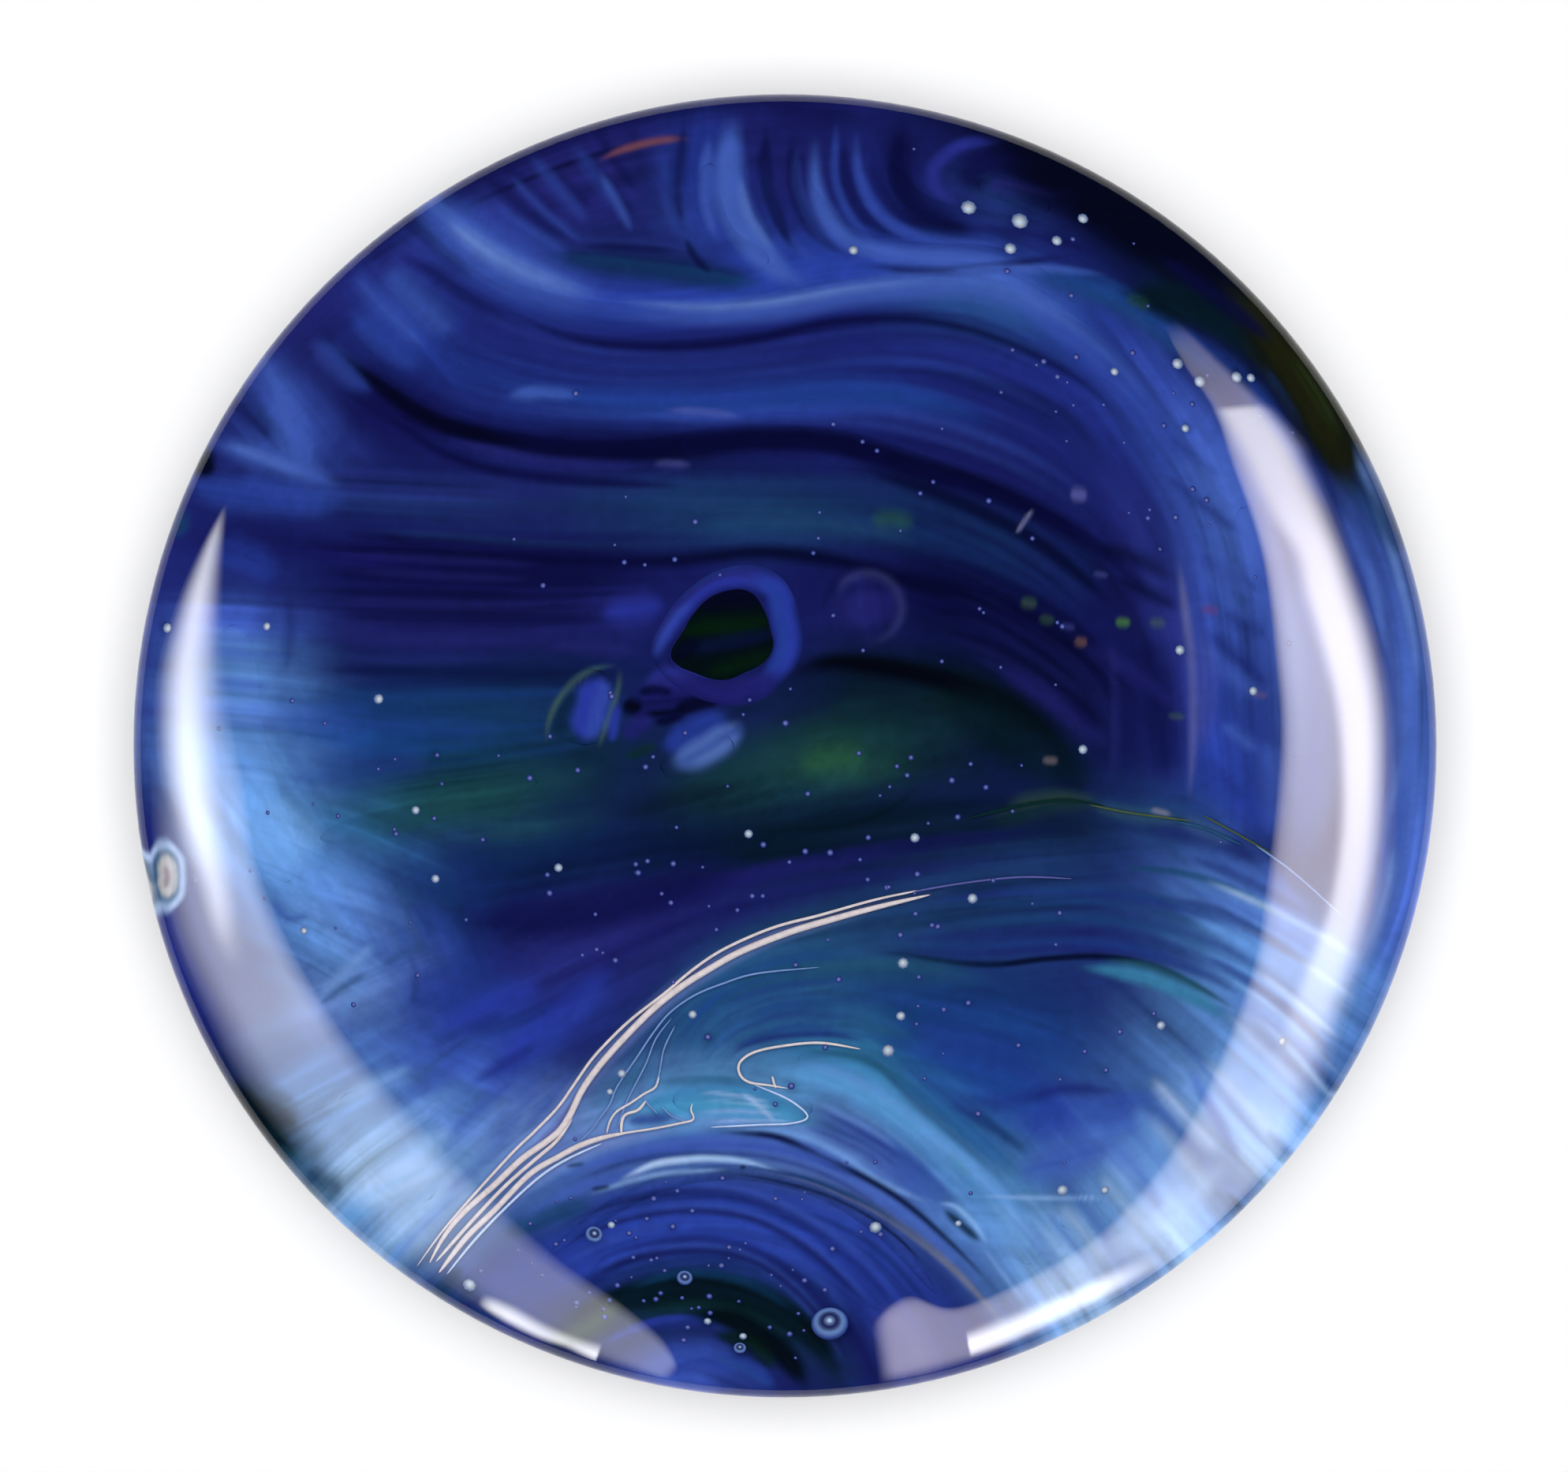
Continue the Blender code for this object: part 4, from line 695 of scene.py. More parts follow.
# Trails as the part's source has them: node, material slot, width and route in millimetres
TRAILS = (
    ("sky_ribbon", "sky_glass", 2.3, (
        (-20.6, 28.0), (-16.8, 26.6), (-12.0, 25.1), (-6.1, 24.6), (0.2, 25.3),
        (6.1, 26.1), (11.6, 26.0), (16.2, 24.2), (20.3, 21.3), (24.0, 17.1))),
    ("hanging_loop_outer", "cornflower_glass", 1.8, (
        (-4.4, 34.6), (-4.5, 32.0), (-3.3, 29.4), (-0.9, 28.2))),
    ("hanging_loop_middle", "sky_glass", 1.6, (
        (0.9, 35.0), (1.2, 32.7), (3.2, 30.2), (7.1, 28.9), (12.1, 28.7), (15.8, 27.4))),
    ("hanging_loop_inner", "cornflower_glass", 1.5, (
        (6.3, 34.6), (6.8, 33.2), (8.5, 31.7), (11.7, 31.0), (15.0, 30.4), (17.6, 29.1))),
    ("loop_heart", "indigo_glass", 1.8, ((11.4, 33.4), (13.6, 32.9), (15.8, 31.9))),
    ("cornflower_band", "cornflower_glass", 2.7, (
        (-19.9, 23.1), (-12.5, 21.1), (-5.2, 20.5), (1.6, 21.2),
        (8.3, 20.9), (14.2, 18.8), (19.2, 15.2), (22.9, 11.1))),
    ("indigo_band", "indigo_glass", 2.2, (
        (-26.0, 22.9), (-23.8, 21.3), (-20.4, 18.9), (-15.1, 17.0), (-8.8, 16.6),
        (-2.5, 17.5), (3.8, 17.0), (9.6, 15.0), (15.0, 12.3), (20.1, 9.5))),
    ("violet_band", "violet_glass", 2.5, (
        (-32.1, 11.3), (-25.2, 10.6), (-17.8, 10.1), (-11.4, 10.4), (-6.0, 11.9),
        (-0.7, 12.2), (4.2, 11.1), (9.6, 9.1), (15.0, 6.5), (19.5, 3.4))),
    ("right_band", "cornflower_glass", 3.5, ((26.7, 14.0), (28.8, 9.4), (30.0, 4.4), (29.9, -0.7))),
    ("dark_streak", "bottle_green_glass", 1.8, ((20.5, 26.3), (23.3, 24.7), (25.6, 22.7), (27.7, 19.9))),
    ("green_streak", "teal_glass", 1.8, ((-27.1, -5.4), (-22.3, -4.3), (-17.7, -3.0), (-14.1, -2.0))),
    ("green_pool", "pool_green_glass", 4.4, (
        (-6.9, -4.7), (-2.9, -4.0), (1.5, -2.2), (6.0, 0.0), (11.4, 1.4), (16.8, 0.9))),
    ("violet_sweep", "violet_glass", 3.2, (
        (-27.4, -17.7), (-21.6, -14.7), (-15.1, -11.9), (-7.8, -9.1),
        (-0.7, -7.4), (6.5, -6.2), (13.6, -5.4), (20.5, -5.6))),
    ("teal_fold", "teal_glass", 2.3, ((-6.5, -20.5), (-3.8, -20.1), (-1.1, -20.3), (1.6, -21.0))),
    ("aqua_plume", "aqua_glass", 2.7, (
        (0.7, -17.9), (4.3, -18.8), (7.9, -21.2), (10.9, -24.5), (13.0, -27.7), (14.5, -30.7))),
    ("outer_arc", "olive_glass", 1.1, (
        (-14.1, -30.2), (-10.7, -27.4), (-7.0, -25.4), (-2.7, -24.7),
        (2.0, -25.8), (5.9, -28.5), (9.0, -32.4))),
    ("middle_arc", "cobalt_glass", 1.6, (
        (-12.0, -32.1), (-8.9, -29.5), (-4.3, -28.0), (0.2, -28.7), (3.7, -31.2), (5.6, -33.4))),
    ("inner_arc", "bottle_green_glass", 2.0, (
        (-8.8, -33.3), (-6.2, -31.7), (-3.0, -31.2), (0.2, -32.4), (2.0, -34.0))),
    ("left_fan", "sky_glass", 3.6, ((-32.7, 7.2), (-32.4, 2.1), (-31.2, -3.0), (-29.0, -8.0))),
    ("lower_left_fan", "sky_glass", 3.5, ((-26.0, -20.5), (-23.8, -23.7), (-20.9, -26.8))),
    ("lower_right_fan", "sky_glass", 4.1, ((27.8, -17.2), (24.4, -21.6), (20.0, -25.5), (16.3, -28.3))),
    ("left_petal", "cornflower_glass", 3.4, ((-11.4, 0.0), (-11.3, 2.3), (-10.5, 4.3))),
    ("lower_petal", "sky_glass", 2.1, ((-7.1, -1.3), (-5.1, -0.7), (-2.9, 0.2))),
)

# Threads: node, material slot, and the strands that it is drawn out of, each with its tone, its radius in
# millimetres and its route in the photo's pixels
THREADS = (
    ("cream_thread", "cream_glass", (
        ("cream", 0.09, (
            (528, 1606), (560, 1562), (596, 1520), (649, 1462), (676, 1436), (707, 1404), (729, 1373),
            (751, 1342), (778, 1313), (804, 1289), (844, 1258), (880, 1228), (920, 1202), (980, 1176),
            (1040, 1160), (1120, 1138), (1205, 1122))),
        ("lilac", 0.06, ((1120, 1138), (1205, 1122), (1290, 1112), (1360, 1114))))),
    ("cream_thread_inner", "cream_glass", (
        ("cream", 0.2, (
            (544, 1602), (562, 1569), (587, 1538), (627, 1502), (662, 1469), (702, 1440), (720, 1418),
            (738, 1382), (760, 1351), (791, 1316), (827, 1280), (862, 1252), (900, 1228), (940, 1206),
            (1000, 1182), (1060, 1164), (1120, 1148), (1180, 1134))),
        ("cream", 0.12, ((552, 1600), (600, 1546), (640, 1504), (676, 1472), (706, 1446), (726, 1418))),
        ("haze", 0.06, (
            (729, 1453), (751, 1431), (760, 1418), (773, 1400), (780, 1382), (791, 1364), (809, 1338),
            (827, 1311), (849, 1284), (880, 1262), (916, 1247), (960, 1234), (1040, 1226))),
        ("cream", 0.07, (
            (769, 1438), (773, 1422), (782, 1409), (800, 1398), (816, 1387), (831, 1378), (836, 1362))),
        ("haze", 0.05, ((830, 1378), (836, 1360), (842, 1329), (856, 1300))),
        ("haze", 0.05, ((782, 1432), (794, 1398), (808, 1370), (820, 1346), (832, 1316), (852, 1290))))),
    ("cream_thread_lower", "cream_glass", (
        ("cream", 0.18, (
            (556, 1614), (591, 1569), (627, 1534), (671, 1489), (707, 1467), (738, 1451), (769, 1441),
            (796, 1436))),
        ("cream", 0.07, (
            (770, 1440), (800, 1435), (827, 1431), (862, 1424), (879, 1419), (876, 1407), (878, 1398))),
        ("ice", 0.08, ((566, 1616), (600, 1574), (640, 1532), (684, 1492), (720, 1469), (764, 1449))),
        ("cream", 0.09, ((788, 1440), (788, 1424), (793, 1413), (809, 1407), (820, 1394))),
        ("haze", 0.05, ((816, 1390), (822, 1400), (834, 1412))),
        ("haze", 0.05, ((838, 1402), (852, 1415), (870, 1422))))),
    ("cream_hook", "cream_glass", (
        ("cream", 0.08, (
            (1092, 1330), (1040, 1322), (992, 1326), (956, 1334), (938, 1347), (938, 1362), (950, 1372),
            (976, 1376), (1000, 1380))),
        ("cream", 0.07, ((979, 1364), (981, 1372), (984, 1380))),
        ("ice", 0.06, ((956, 1375), (1000, 1394), (1024, 1415), (1004, 1424), (960, 1426), (900, 1429))))),
    ("olive_thread", "olive_glass", (
        ("forest", 0.08, ((1225, 1038), (1290, 1022), (1350, 1014), (1400, 1022))),
        ("olive", 0.06, ((1380, 1020), (1430, 1030), (1474, 1036), (1512, 1041))),
        ("sea", 0.06, ((1490, 1041), (1530, 1051), (1575, 1072))),
        ("olive", 0.06, ((1526, 1034), (1570, 1058), (1612, 1082))),
        ("haze", 0.06, ((1590, 1070), (1640, 1106), (1700, 1160))))),
)

# The eye, in the photo's pixels: its middle, and the outlines of the dark drop and of the ring round it
EYE_MIDDLE = (920, 808)
PUPIL_OUTLINE = (
    (846, 832), (855, 817), (867, 800), (882, 775), (900, 757), (920, 749), (940, 746),
    (957, 752), (967, 769), (974, 784), (977, 800), (982, 816), (977, 832), (966, 843),
    (944, 853), (920, 863), (900, 861), (880, 853), (862, 847))
RING_OUTLINE = (
    (822, 826), (838, 792), (856, 765), (880, 742), (914, 722), (946, 716), (974, 720),
    (998, 738), (1008, 760), (1016, 786), (1020, 818), (1012, 844), (996, 866), (972, 884),
    (944, 894), (908, 892), (870, 878), (840, 856))
RING_STREAKS = (
    ("dusk", "violet", 22, 10, 0.8, ((846, 870), (890, 878), (940, 884), (990, 868))),
    ("iris", "plum", 15, 9, 0.9, (
        (818, 846), (836, 812), (862, 772), (900, 740), (946, 732), (996, 752), (1010, 780))),
    ("iris", "royal", 15, 9, 0.95, (
        (940, 726), (984, 746), (994, 784), (999, 814), (990, 842), (960, 878))),
    ("plum", "violet", 11, 9, 0.9, ((1000, 846), (968, 864), (930, 874), (890, 868), (850, 862))),
    ("corn", "iris", 6, 8, 0.7, ((826, 840), (840, 810), (856, 784), (884, 756))),
    ("azure", "teal", 3, 5, 0.6, (
        (838, 788), (858, 760), (884, 738), (920, 720), (960, 716), (996, 734), (1012, 764))),
)
PUPIL_STREAKS = (
    ("black", "ink", 14, 8, 0.9, ((880, 776), (920, 758), (975, 766))),
    ("dark_moss", "black_green", 10, 8, 0.9, ((850, 806), (890, 796), (940, 792), (990, 784))),
    ("navy", "abyss", 9, 7, 0.85, ((850, 830), (890, 820), (940, 812), (995, 800))),
    ("dark_moss", "black_green", 9, 8, 0.8, ((890, 856), (930, 844), (990, 826))),
    ("black", "ink", 9, 7, 0.8, ((850, 838), (870, 826), (890, 808))),
)

# Bubbles: place and size across in the photo's pixels, and how far they lie over the ground in millimetres
BRIGHT_BUBBLES = (
    (1228, 263, 20, 2.0), (1293, 280, 22, 2.0), (1281, 315, 16, 2.0), (1340, 305, 14, 2.0),
    (1373, 277, 14, 2.0), (1082, 317, 13, 2.0), (480, 886, 13, 3.0), (527, 1027, 11, 3.0),
    (552, 1114, 11, 3.0), (708, 1100, 11, 3.0), (949, 1057, 11, 3.0), (1160, 1062, 12, 3.0),
    (1373, 950, 12, 3.0), (1496, 824, 13, 2.0), (1589, 876, 12, 2.0), (1233, 1139, 13, 3.0),
    (1145, 1221, 14, 3.0), (1142, 1288, 12, 3.0), (1126, 1332, 16, 3.0), (878, 1286, 11, 3.0),
    (788, 1361, 12, 3.0), (773, 1384, 9, 3.0), (1347, 1509, 15, 2.0), (1401, 1509, 11, 2.0),
    (1110, 1556, 16, 2.0), (595, 1629, 18, 0.8), (775, 1553, 10, 2.0), (1626, 1320, 12, 1.0),
    (1215, 1551, 9, 2.0), (1472, 1300, 12, 2.0), (1493, 461, 15, 1.0), (1521, 484, 15, 1.0),
    (1568, 478, 15, 1.0), (1586, 479, 12, 1.0), (1503, 543, 11, 1.0), (1413, 471, 11, 2.0),
    (385, 1180, 10, 2.0), (338, 794, 11, 2.0), (212, 796, 13, 1.0), (897, 1675, 10, 1.0),
    (942, 1694, 10, 1.0))
RING_BUBBLES = (
    (753, 1565, 22, 2.0), (868, 1620, 20, 2.0), (1052, 1678, 46, 1.5), (938, 1709, 16, 1.0))

# Fine seeds about a middle: its place, the spread both ways, how many, and the lowest and highest lift
SEED_ZONES = (
    (1000, 1060, 260, 120, 70, 1.0, 7.0),
    (880, 1620, 130, 80, 75, 0.8, 3.0),
    (1150, 640, 300, 90, 35, 2.0, 7.0),
    (520, 1080, 130, 130, 26, 1.0, 4.0),
    (1150, 1280, 160, 90, 26, 1.0, 5.0),
    (1380, 430, 110, 90, 22, 1.0, 4.0),
    (1430, 640, 70, 110, 10, 1.0, 4.0),
)
SEED_SIZES = (4.0, 9.0)
SEED_NUMBER = 11


# The flank is one arc from the girth in to the flat foot, and the crown is a ball that meets the shoulder
FLANK_RADIUS = (FOOT_INSET**2 + GIRTH_HEIGHT**2) / (2.0 * FOOT_INSET)
FLANK_CENTRE = GIRTH_RADIUS - FLANK_RADIUS
CROWN_CENTRE = CROWN_TOP - CROWN_RADIUS
CROWN_SLOPE = math.asin((GIRTH_RADIUS - SHOULDER_RADIUS) / (CROWN_RADIUS - SHOULDER_RADIUS))
CAP_RADIUS = (GROUND_RADIUS**2 + GROUND_RISE**2) / (2.0 * GROUND_RISE)
CAP_CENTRE = GROUND_TOP - CAP_RADIUS
RIM_RADIUS = GROUND_RADIUS + GROUND_LIP

CAMERA_PLACE = Vector((
    (PHOTO_MIDDLE[0] - WEIGHT_ACROSS) * PIXEL,
    (WEIGHT_DOWN - PHOTO_MIDDLE[1]) * PIXEL,
    GIRTH_HEIGHT + CAMERA_DISTANCE))


def flank_radius(height, inset):
    """Radius at a height of the curve that lies this far inside the flank."""
    return FLANK_CENTRE + math.sqrt((FLANK_RADIUS - inset)**2 - (GIRTH_HEIGHT - height)**2)


def cap_height(radius, lift):
    """Height of the surface that lies this far over the ground's domed top."""
    return CAP_CENTRE + np.sqrt((CAP_RADIUS + lift)**2 - radius**2)


def upper_hit(start, end, centre, radius):
    """The upper of the two points where a line meets a ball."""
    return max(geometry.intersect_line_sphere(start, end, centre, radius, False), key=lambda place: place.z)


def camera_ray(across, down):
    """Where the camera's ray for a pixel meets the crown, with its direction and the normal there."""
    aim = Vector(((across - WEIGHT_ACROSS) * PIXEL, (WEIGHT_DOWN - down) * PIXEL, GIRTH_HEIGHT))
    crown = Vector((0.0, 0.0, CROWN_CENTRE))
    entry = upper_hit(CAMERA_PLACE, aim, crown, CROWN_RADIUS)
    return entry, (entry - CAMERA_PLACE).normalized(), (entry - crown).normalized()


def seen_place(across, down, lift):
    """The point over the ground that shows at a pixel of the photo, through the dome."""
    entry, ray, normal = camera_ray(across, down)
    facing = -ray.dot(normal)
    bent = ray + normal * (facing - math.sqrt(GLASS_IOR**2 - 1.0 + facing**2))
    return upper_hit(entry, entry + bent, Vector((0.0, 0.0, CAP_CENTRE)), CAP_RADIUS + lift)


def mirrored_place(across, down, distance):
    """The point this far from the weight that the dome mirrors at a pixel of the photo."""
    entry, ray, normal = camera_ray(across, down)
    away = ray.reflect(normal)
    both = geometry.intersect_line_sphere(entry, entry + away, Vector((0.0, 0.0, 0.0)), distance, False)
    return max(both, key=lambda place: (place - entry).dot(away))


# Painting the swirl

LATTICE_SIZE = 256
LATTICE_SEED = 7
LATTICE = np.random.default_rng(LATTICE_SEED).random((LATTICE_SIZE, LATTICE_SIZE))
ROUTE_STEPS = 8
STREAK_LENGTH = 14.0 * MM
STREAK_WIDTHS = (1.1 * MM, 0.4 * MM, 0.17 * MM)
STREAK_SHARES = (0.5, 0.3, 0.2)
STREAK_CONTRAST = 1.3
STREAK_SHIFT = (3.1, 7.7)
STREAK_TIP = 0.3
STREAK_FADE = 1.8
TAPER_SHARE = 0.35
FINEST_SOFT = 0.13 * MM
GLASS_DEPTH = np.array((1.1, 1.0, 1.05))
GLASS_GAIN = np.array((1.25, 1.0, 1.05))
WASH_CORE = 0.62
WASH_SPREAD = 1.5
WASH_END = 0.45
WASH_STRIPES = 1.6
WASH_RIPPLE = 0.9 * MM
WASH_RIPPLE_DEPTH = 0.4
WASH_RIPPLE_SHIFT = (2.3, 5.9)
LANE_SEED = 5
LANE_VARIETY = 0.4
LANE_DRIFT = 0.4
LANE_TRIM = 0.6

# The standard curve between a written colour and linear light
COLOUR_STEPS = 255.0
CURVE_KNEE = 0.04045
CURVE_SLOPE = 12.92
CURVE_OFFSET = 0.055
CURVE_POWER = 2.4


def linear(colour):
    """A colour written in 0 to 255 steps, as the linear light that a shader takes."""
    level = np.asarray(colour, float) / COLOUR_STEPS
    bright = ((level + CURVE_OFFSET) / (1.0 + CURVE_OFFSET))**CURVE_POWER
    return np.where(level <= CURVE_KNEE, level / CURVE_SLOPE, bright)


def ease(level):
    """0 below 0, 1 above 1, and a soft S between them."""
    held = np.clip(level, 0.0, 1.0)
    return held * held * (3.0 - 2.0 * held)


def grain(u, v):
    """Smooth noise from 0 to 1 over a plane."""
    column = np.floor(u).astype(int)
    row = np.floor(v).astype(int)
    right = ease(u - column)
    up = ease(v - row)
    here = column % LATTICE_SIZE
    beside = (column + 1) % LATTICE_SIZE
    level = row % LATTICE_SIZE
    above = (row + 1) % LATTICE_SIZE
    low = LATTICE[here, level] * (1.0 - right) + LATTICE[beside, level] * right
    high = LATTICE[here, above] * (1.0 - right) + LATTICE[beside, above] * right
    return low * (1.0 - up) + high * up


def smooth_route(points):
    """A curve through the points, as many short straight steps."""
    route = np.asarray(points, float)
    last = len(route) - 1
    steps = []
    for span in range(last):
        start = route[span]
        end = route[span + 1]
        leave = (end - route[max(span - 1, 0)]) / 2.0
        arrive = (route[min(span + 2, last)] - start) / 2.0
        for t in np.arange(ROUTE_STEPS) / ROUTE_STEPS:
            steps.append(start * (2 * t**3 - 3 * t**2 + 1) + leave * (t**3 - 2 * t**2 + t)
                         + end * (3 * t**2 - 2 * t**3) + arrive * (t**3 - t**2))
    steps.append(route[last])
    return np.array(steps)


def along_and_across(spots, route):
    """How far each spot lies along a route, across it and away from it, and the route's length."""
    nearest = np.full(len(spots), np.inf)
    along = np.zeros(len(spots))
    across = np.zeros(len(spots))
    passed = 0.0
    for start, end in zip(route, route[1:]):
        step = end - start
        length = math.hypot(*step)
        away = spots - start
        share = away @ step / length**2
        rest = away - np.clip(share, 0.0, 1.0)[:, None] * step
        distance = np.hypot(rest[:, 0], rest[:, 1])
        closer = distance < nearest
        nearest = np.where(closer, distance, nearest)
        along = np.where(closer, passed + share * length, along)
        across = np.where(closer, (step[0] * away[:, 1] - step[1] * away[:, 0]) / length, across)
        passed += length
    return along, across, nearest, passed


def striped(along, across, seed):
    """Noise from 0 to 1 that is drawn out along a route and fine across it, as pulled glass is."""
    tone = np.zeros(len(along))
    for width, share in zip(STREAK_WIDTHS, STREAK_SHARES):
        tone += share * grain(along / STREAK_LENGTH + STREAK_SHIFT[0] * seed,
                              across / width + STREAK_SHIFT[1] * seed)
    return tone


def spots_near(spots, route, reach):
    """Which spots lie in the box round a route, with this much to spare."""
    return np.flatnonzero(((spots > route.min(0) - reach) & (spots < route.max(0) + reach)).all(1))


def lay_streak(paint, spots, streak, route, seed):
    """Lay one streak of two-tone glass over the paint; it tapers and fades towards both ends."""
    first, second, half_width, soft, strength, _ = streak
    half_width = half_width * LAYER_PIXEL
    soft = max(soft * LAYER_PIXEL, FINEST_SOFT)
    near = spots_near(spots, route, half_width + soft)
    if not len(near):
        return
    along, across, _, length = along_and_across(spots[near], route)
    tone = striped(along, across, seed)
    to_end = np.minimum(along, length - along) / (TAPER_SHARE * length)
    body = half_width * (STREAK_TIP + (1.0 - STREAK_TIP) * ease(to_end)) + (tone - 0.5) * soft
    cover = strength * ease((body + soft - np.abs(across)) / (2.0 * soft)) * ease(to_end * STREAK_FADE)
    blend = np.clip(0.5 + (tone - 0.5) * STREAK_CONTRAST, 0.0, 1.0)[:, None]
    colour = linear(COLOURS[first]) * (1.0 - blend) + linear(COLOURS[second]) * blend
    paint[near] += (colour - paint[near]) * cover[:, None]


def single_streaks(rows):
    """Every streak by itself: a row with two routes is a set of lanes, spread from one to the other."""
    vary = np.random.default_rng(LANE_SEED)
    for first, second, half_width, soft, strength, route, *lanes in rows:
        if not lanes:
            yield first, second, half_width, soft, strength, np.array(route, float)
            continue
        last_route, count = lanes
        for share in np.linspace(0.0, 1.0, count):
            share = share + vary.uniform(-LANE_DRIFT, LANE_DRIFT) / count
            fuller = vary.uniform(1.0 - LANE_VARIETY, 1.0 + LANE_VARIETY)
            fainter = vary.uniform(1.0 - LANE_VARIETY, 1.0)
            middle = np.array(route) * (1.0 - share) + np.array(last_route) * share
            middle[0] += (middle[1] - middle[0]) * vary.uniform(0.0, LANE_TRIM)
            middle[-1] += (middle[-2] - middle[-1]) * vary.uniform(0.0, LANE_TRIM)
            yield first, second, half_width * fuller, soft, strength * fainter, middle


def lay_wash(paint, spots, wash, route, seed):
    """Lay one soft field of glass over the paint; it fades evenly all round its route."""
    tone, reach, strength, _ = wash
    reach = reach * LAYER_PIXEL
    near = spots_near(spots, route, WASH_SPREAD * reach)
    if not len(near):
        return
    along, across, distance, length = along_and_across(spots[near], route)
    ripple = grain(along / STREAK_LENGTH + WASH_RIPPLE_SHIFT[0] * seed,
                   across / WASH_RIPPLE + WASH_RIPPLE_SHIFT[1] * seed) - 0.5
    inside = distance / (WASH_CORE * reach) + WASH_RIPPLE_DEPTH * ripple
    to_end = np.minimum(along, length - along) / (TAPER_SHARE * length)
    cover = strength * np.exp(-inside**2) * (WASH_END + (1.0 - WASH_END) * ease(to_end))
    stripes = 1.0 + WASH_STRIPES * (striped(along, across, seed) - 0.5)
    paint[near] += (linear(COLOURS[tone]) * stripes[:, None] - paint[near]) * cover[:, None]


def paint_at(spots, base, washes, streaks):
    """Colours at places over the ground: streaks laid on washes, on a base colour."""
    paint = np.tile(linear(COLOURS[base]), (len(spots), 1))
    for lay, rows in ((lay_wash, washes), (lay_streak, single_streaks(streaks))):
        for seed, row in enumerate(rows):
            places = [seen_place(across, down, SWIRL_LIFT).xy for across, down in row[-1]]
            lay(paint, spots, row, smooth_route(places), seed)
    return GLASS_GAIN * paint**GLASS_DEPTH


# Modelling

TURN_STEPS = 192
CROWN_STEPS = 56
SHOULDER_STEPS = 20
FLANK_STEPS = 24
FOOT_EDGE_STEPS = 6
WELD = 0.001 * MM
GROUND_STEPS = 300
GROUND_SIDE_STEPS = 4
SHARP_EDGE = math.radians(40.0)
GROUND_SPREAD = 0.85
TRAIL_STEP = 0.14 * MM
TRAIL_STEPS_ROUND = 44
TRAIL_ROUNDING = 3
FEWEST_RINGS = 12
THREAD_STEPS_ROUND = 10
TRAIL_BODY_SHARE = 0.55
EYE_STEPS = 128
EYE_STEPS_ROUND = 24
OUTLINE_STEPS = 181
OUTLINE_BLUR = 15
PUPIL_SHARE = 0.5
EYE_ROUNDING = 2
TUBE_RADIUS = 0.5
EYE_SINK = 0.03 * MM
BUBBLE_STEPS = (8, 6)
RING_BUBBLE_STEPS = (32, 16)
SEED_REACH = 0.94 * WEIGHT_RADIUS_PIXELS


def begin(adder, name, **sizes):
    """Add a primitive with nothing else selected, and name it."""
    bpy.ops.object.select_all(action="DESELECT")
    adder(**sizes)
    item = bpy.context.object
    item.name = name
    return item


def places_of(item):
    """The mesh's points as rows of x, y and z."""
    places = np.empty(3 * len(item.data.vertices))
    item.data.vertices.foreach_get("co", places)
    return places.reshape(-1, 3)


def move_points(item, x, y, z):
    """Put the mesh's points at new places."""
    item.data.vertices.foreach_set("co", np.stack((x, y, z), 1).ravel())
    item.data.update()


def close_up(item):
    """Weld the seams and poles of a finished shape, turn its faces outwards and smooth it."""
    bpy.ops.object.mode_set(mode="EDIT")
    bpy.ops.mesh.select_all(action="SELECT")
    bpy.ops.mesh.remove_doubles(threshold=WELD)
    bpy.ops.mesh.normals_make_consistent(inside=False)
    bpy.ops.object.mode_set(mode="OBJECT")
    bpy.ops.object.shade_smooth()
    return item


def turned(name, outline):
    """A turned piece, from the outline of one side, which starts and ends on the axis."""
    item = begin(bpy.ops.mesh.primitive_plane_add, name, size=MM)
    bpy.ops.object.mode_set(mode="EDIT")
    bpy.ops.mesh.merge(type="CENTER")
    bpy.ops.transform.translate(value=(outline[0][0], 0.0, outline[0][1]))
    for start, end in zip(outline, outline[1:]):
        step = (end[0] - start[0], 0.0, end[1] - start[1])
        bpy.ops.mesh.extrude_vertices_move(TRANSFORM_OT_translate={"value": step})
    bpy.ops.mesh.select_all(action="SELECT")
    bpy.ops.mesh.spin(steps=TURN_STEPS, angle=2.0 * math.pi, center=(0.0, 0.0, 0.0), axis=(0.0, 0.0, 1.0))
    bpy.ops.object.mode_set(mode="OBJECT")
    return close_up(item)


def arc(centre, radius, first, last, steps):
    """Points on an arc in the turned outline's plane, by slope from straight up."""
    return [(centre[0] + radius * math.sin(slope), centre[1] + radius * math.cos(slope))
            for slope in np.linspace(first, last, steps + 1)]


def clear_casing():
    """The outside in one surface: crown, shoulder, flank, a softened edge and the flat foot."""
    outline = arc((0.0, CROWN_CENTRE), CROWN_RADIUS, 0.0, CROWN_SLOPE, CROWN_STEPS)
    shoulder = (GIRTH_RADIUS - SHOULDER_RADIUS, GIRTH_HEIGHT)
    outline += arc(shoulder, SHOULDER_RADIUS, CROWN_SLOPE, math.pi / 2.0, SHOULDER_STEPS)[1:]
    foot_edge = FOOT_EDGE_RADIUS
    edge_centre = flank_radius(foot_edge, foot_edge)
    low_slope = math.pi / 2.0 + math.asin((GIRTH_HEIGHT - foot_edge) / (FLANK_RADIUS - foot_edge))
    flank = arc((FLANK_CENTRE, GIRTH_HEIGHT), FLANK_RADIUS, math.pi / 2.0, low_slope, FLANK_STEPS)
    outline += flank[1:]
    outline += arc((edge_centre, foot_edge), foot_edge, low_slope, math.pi, FOOT_EDGE_STEPS)[1:]
    outline.append((0.0, 0.0))
    return turned("clear_casing", outline)


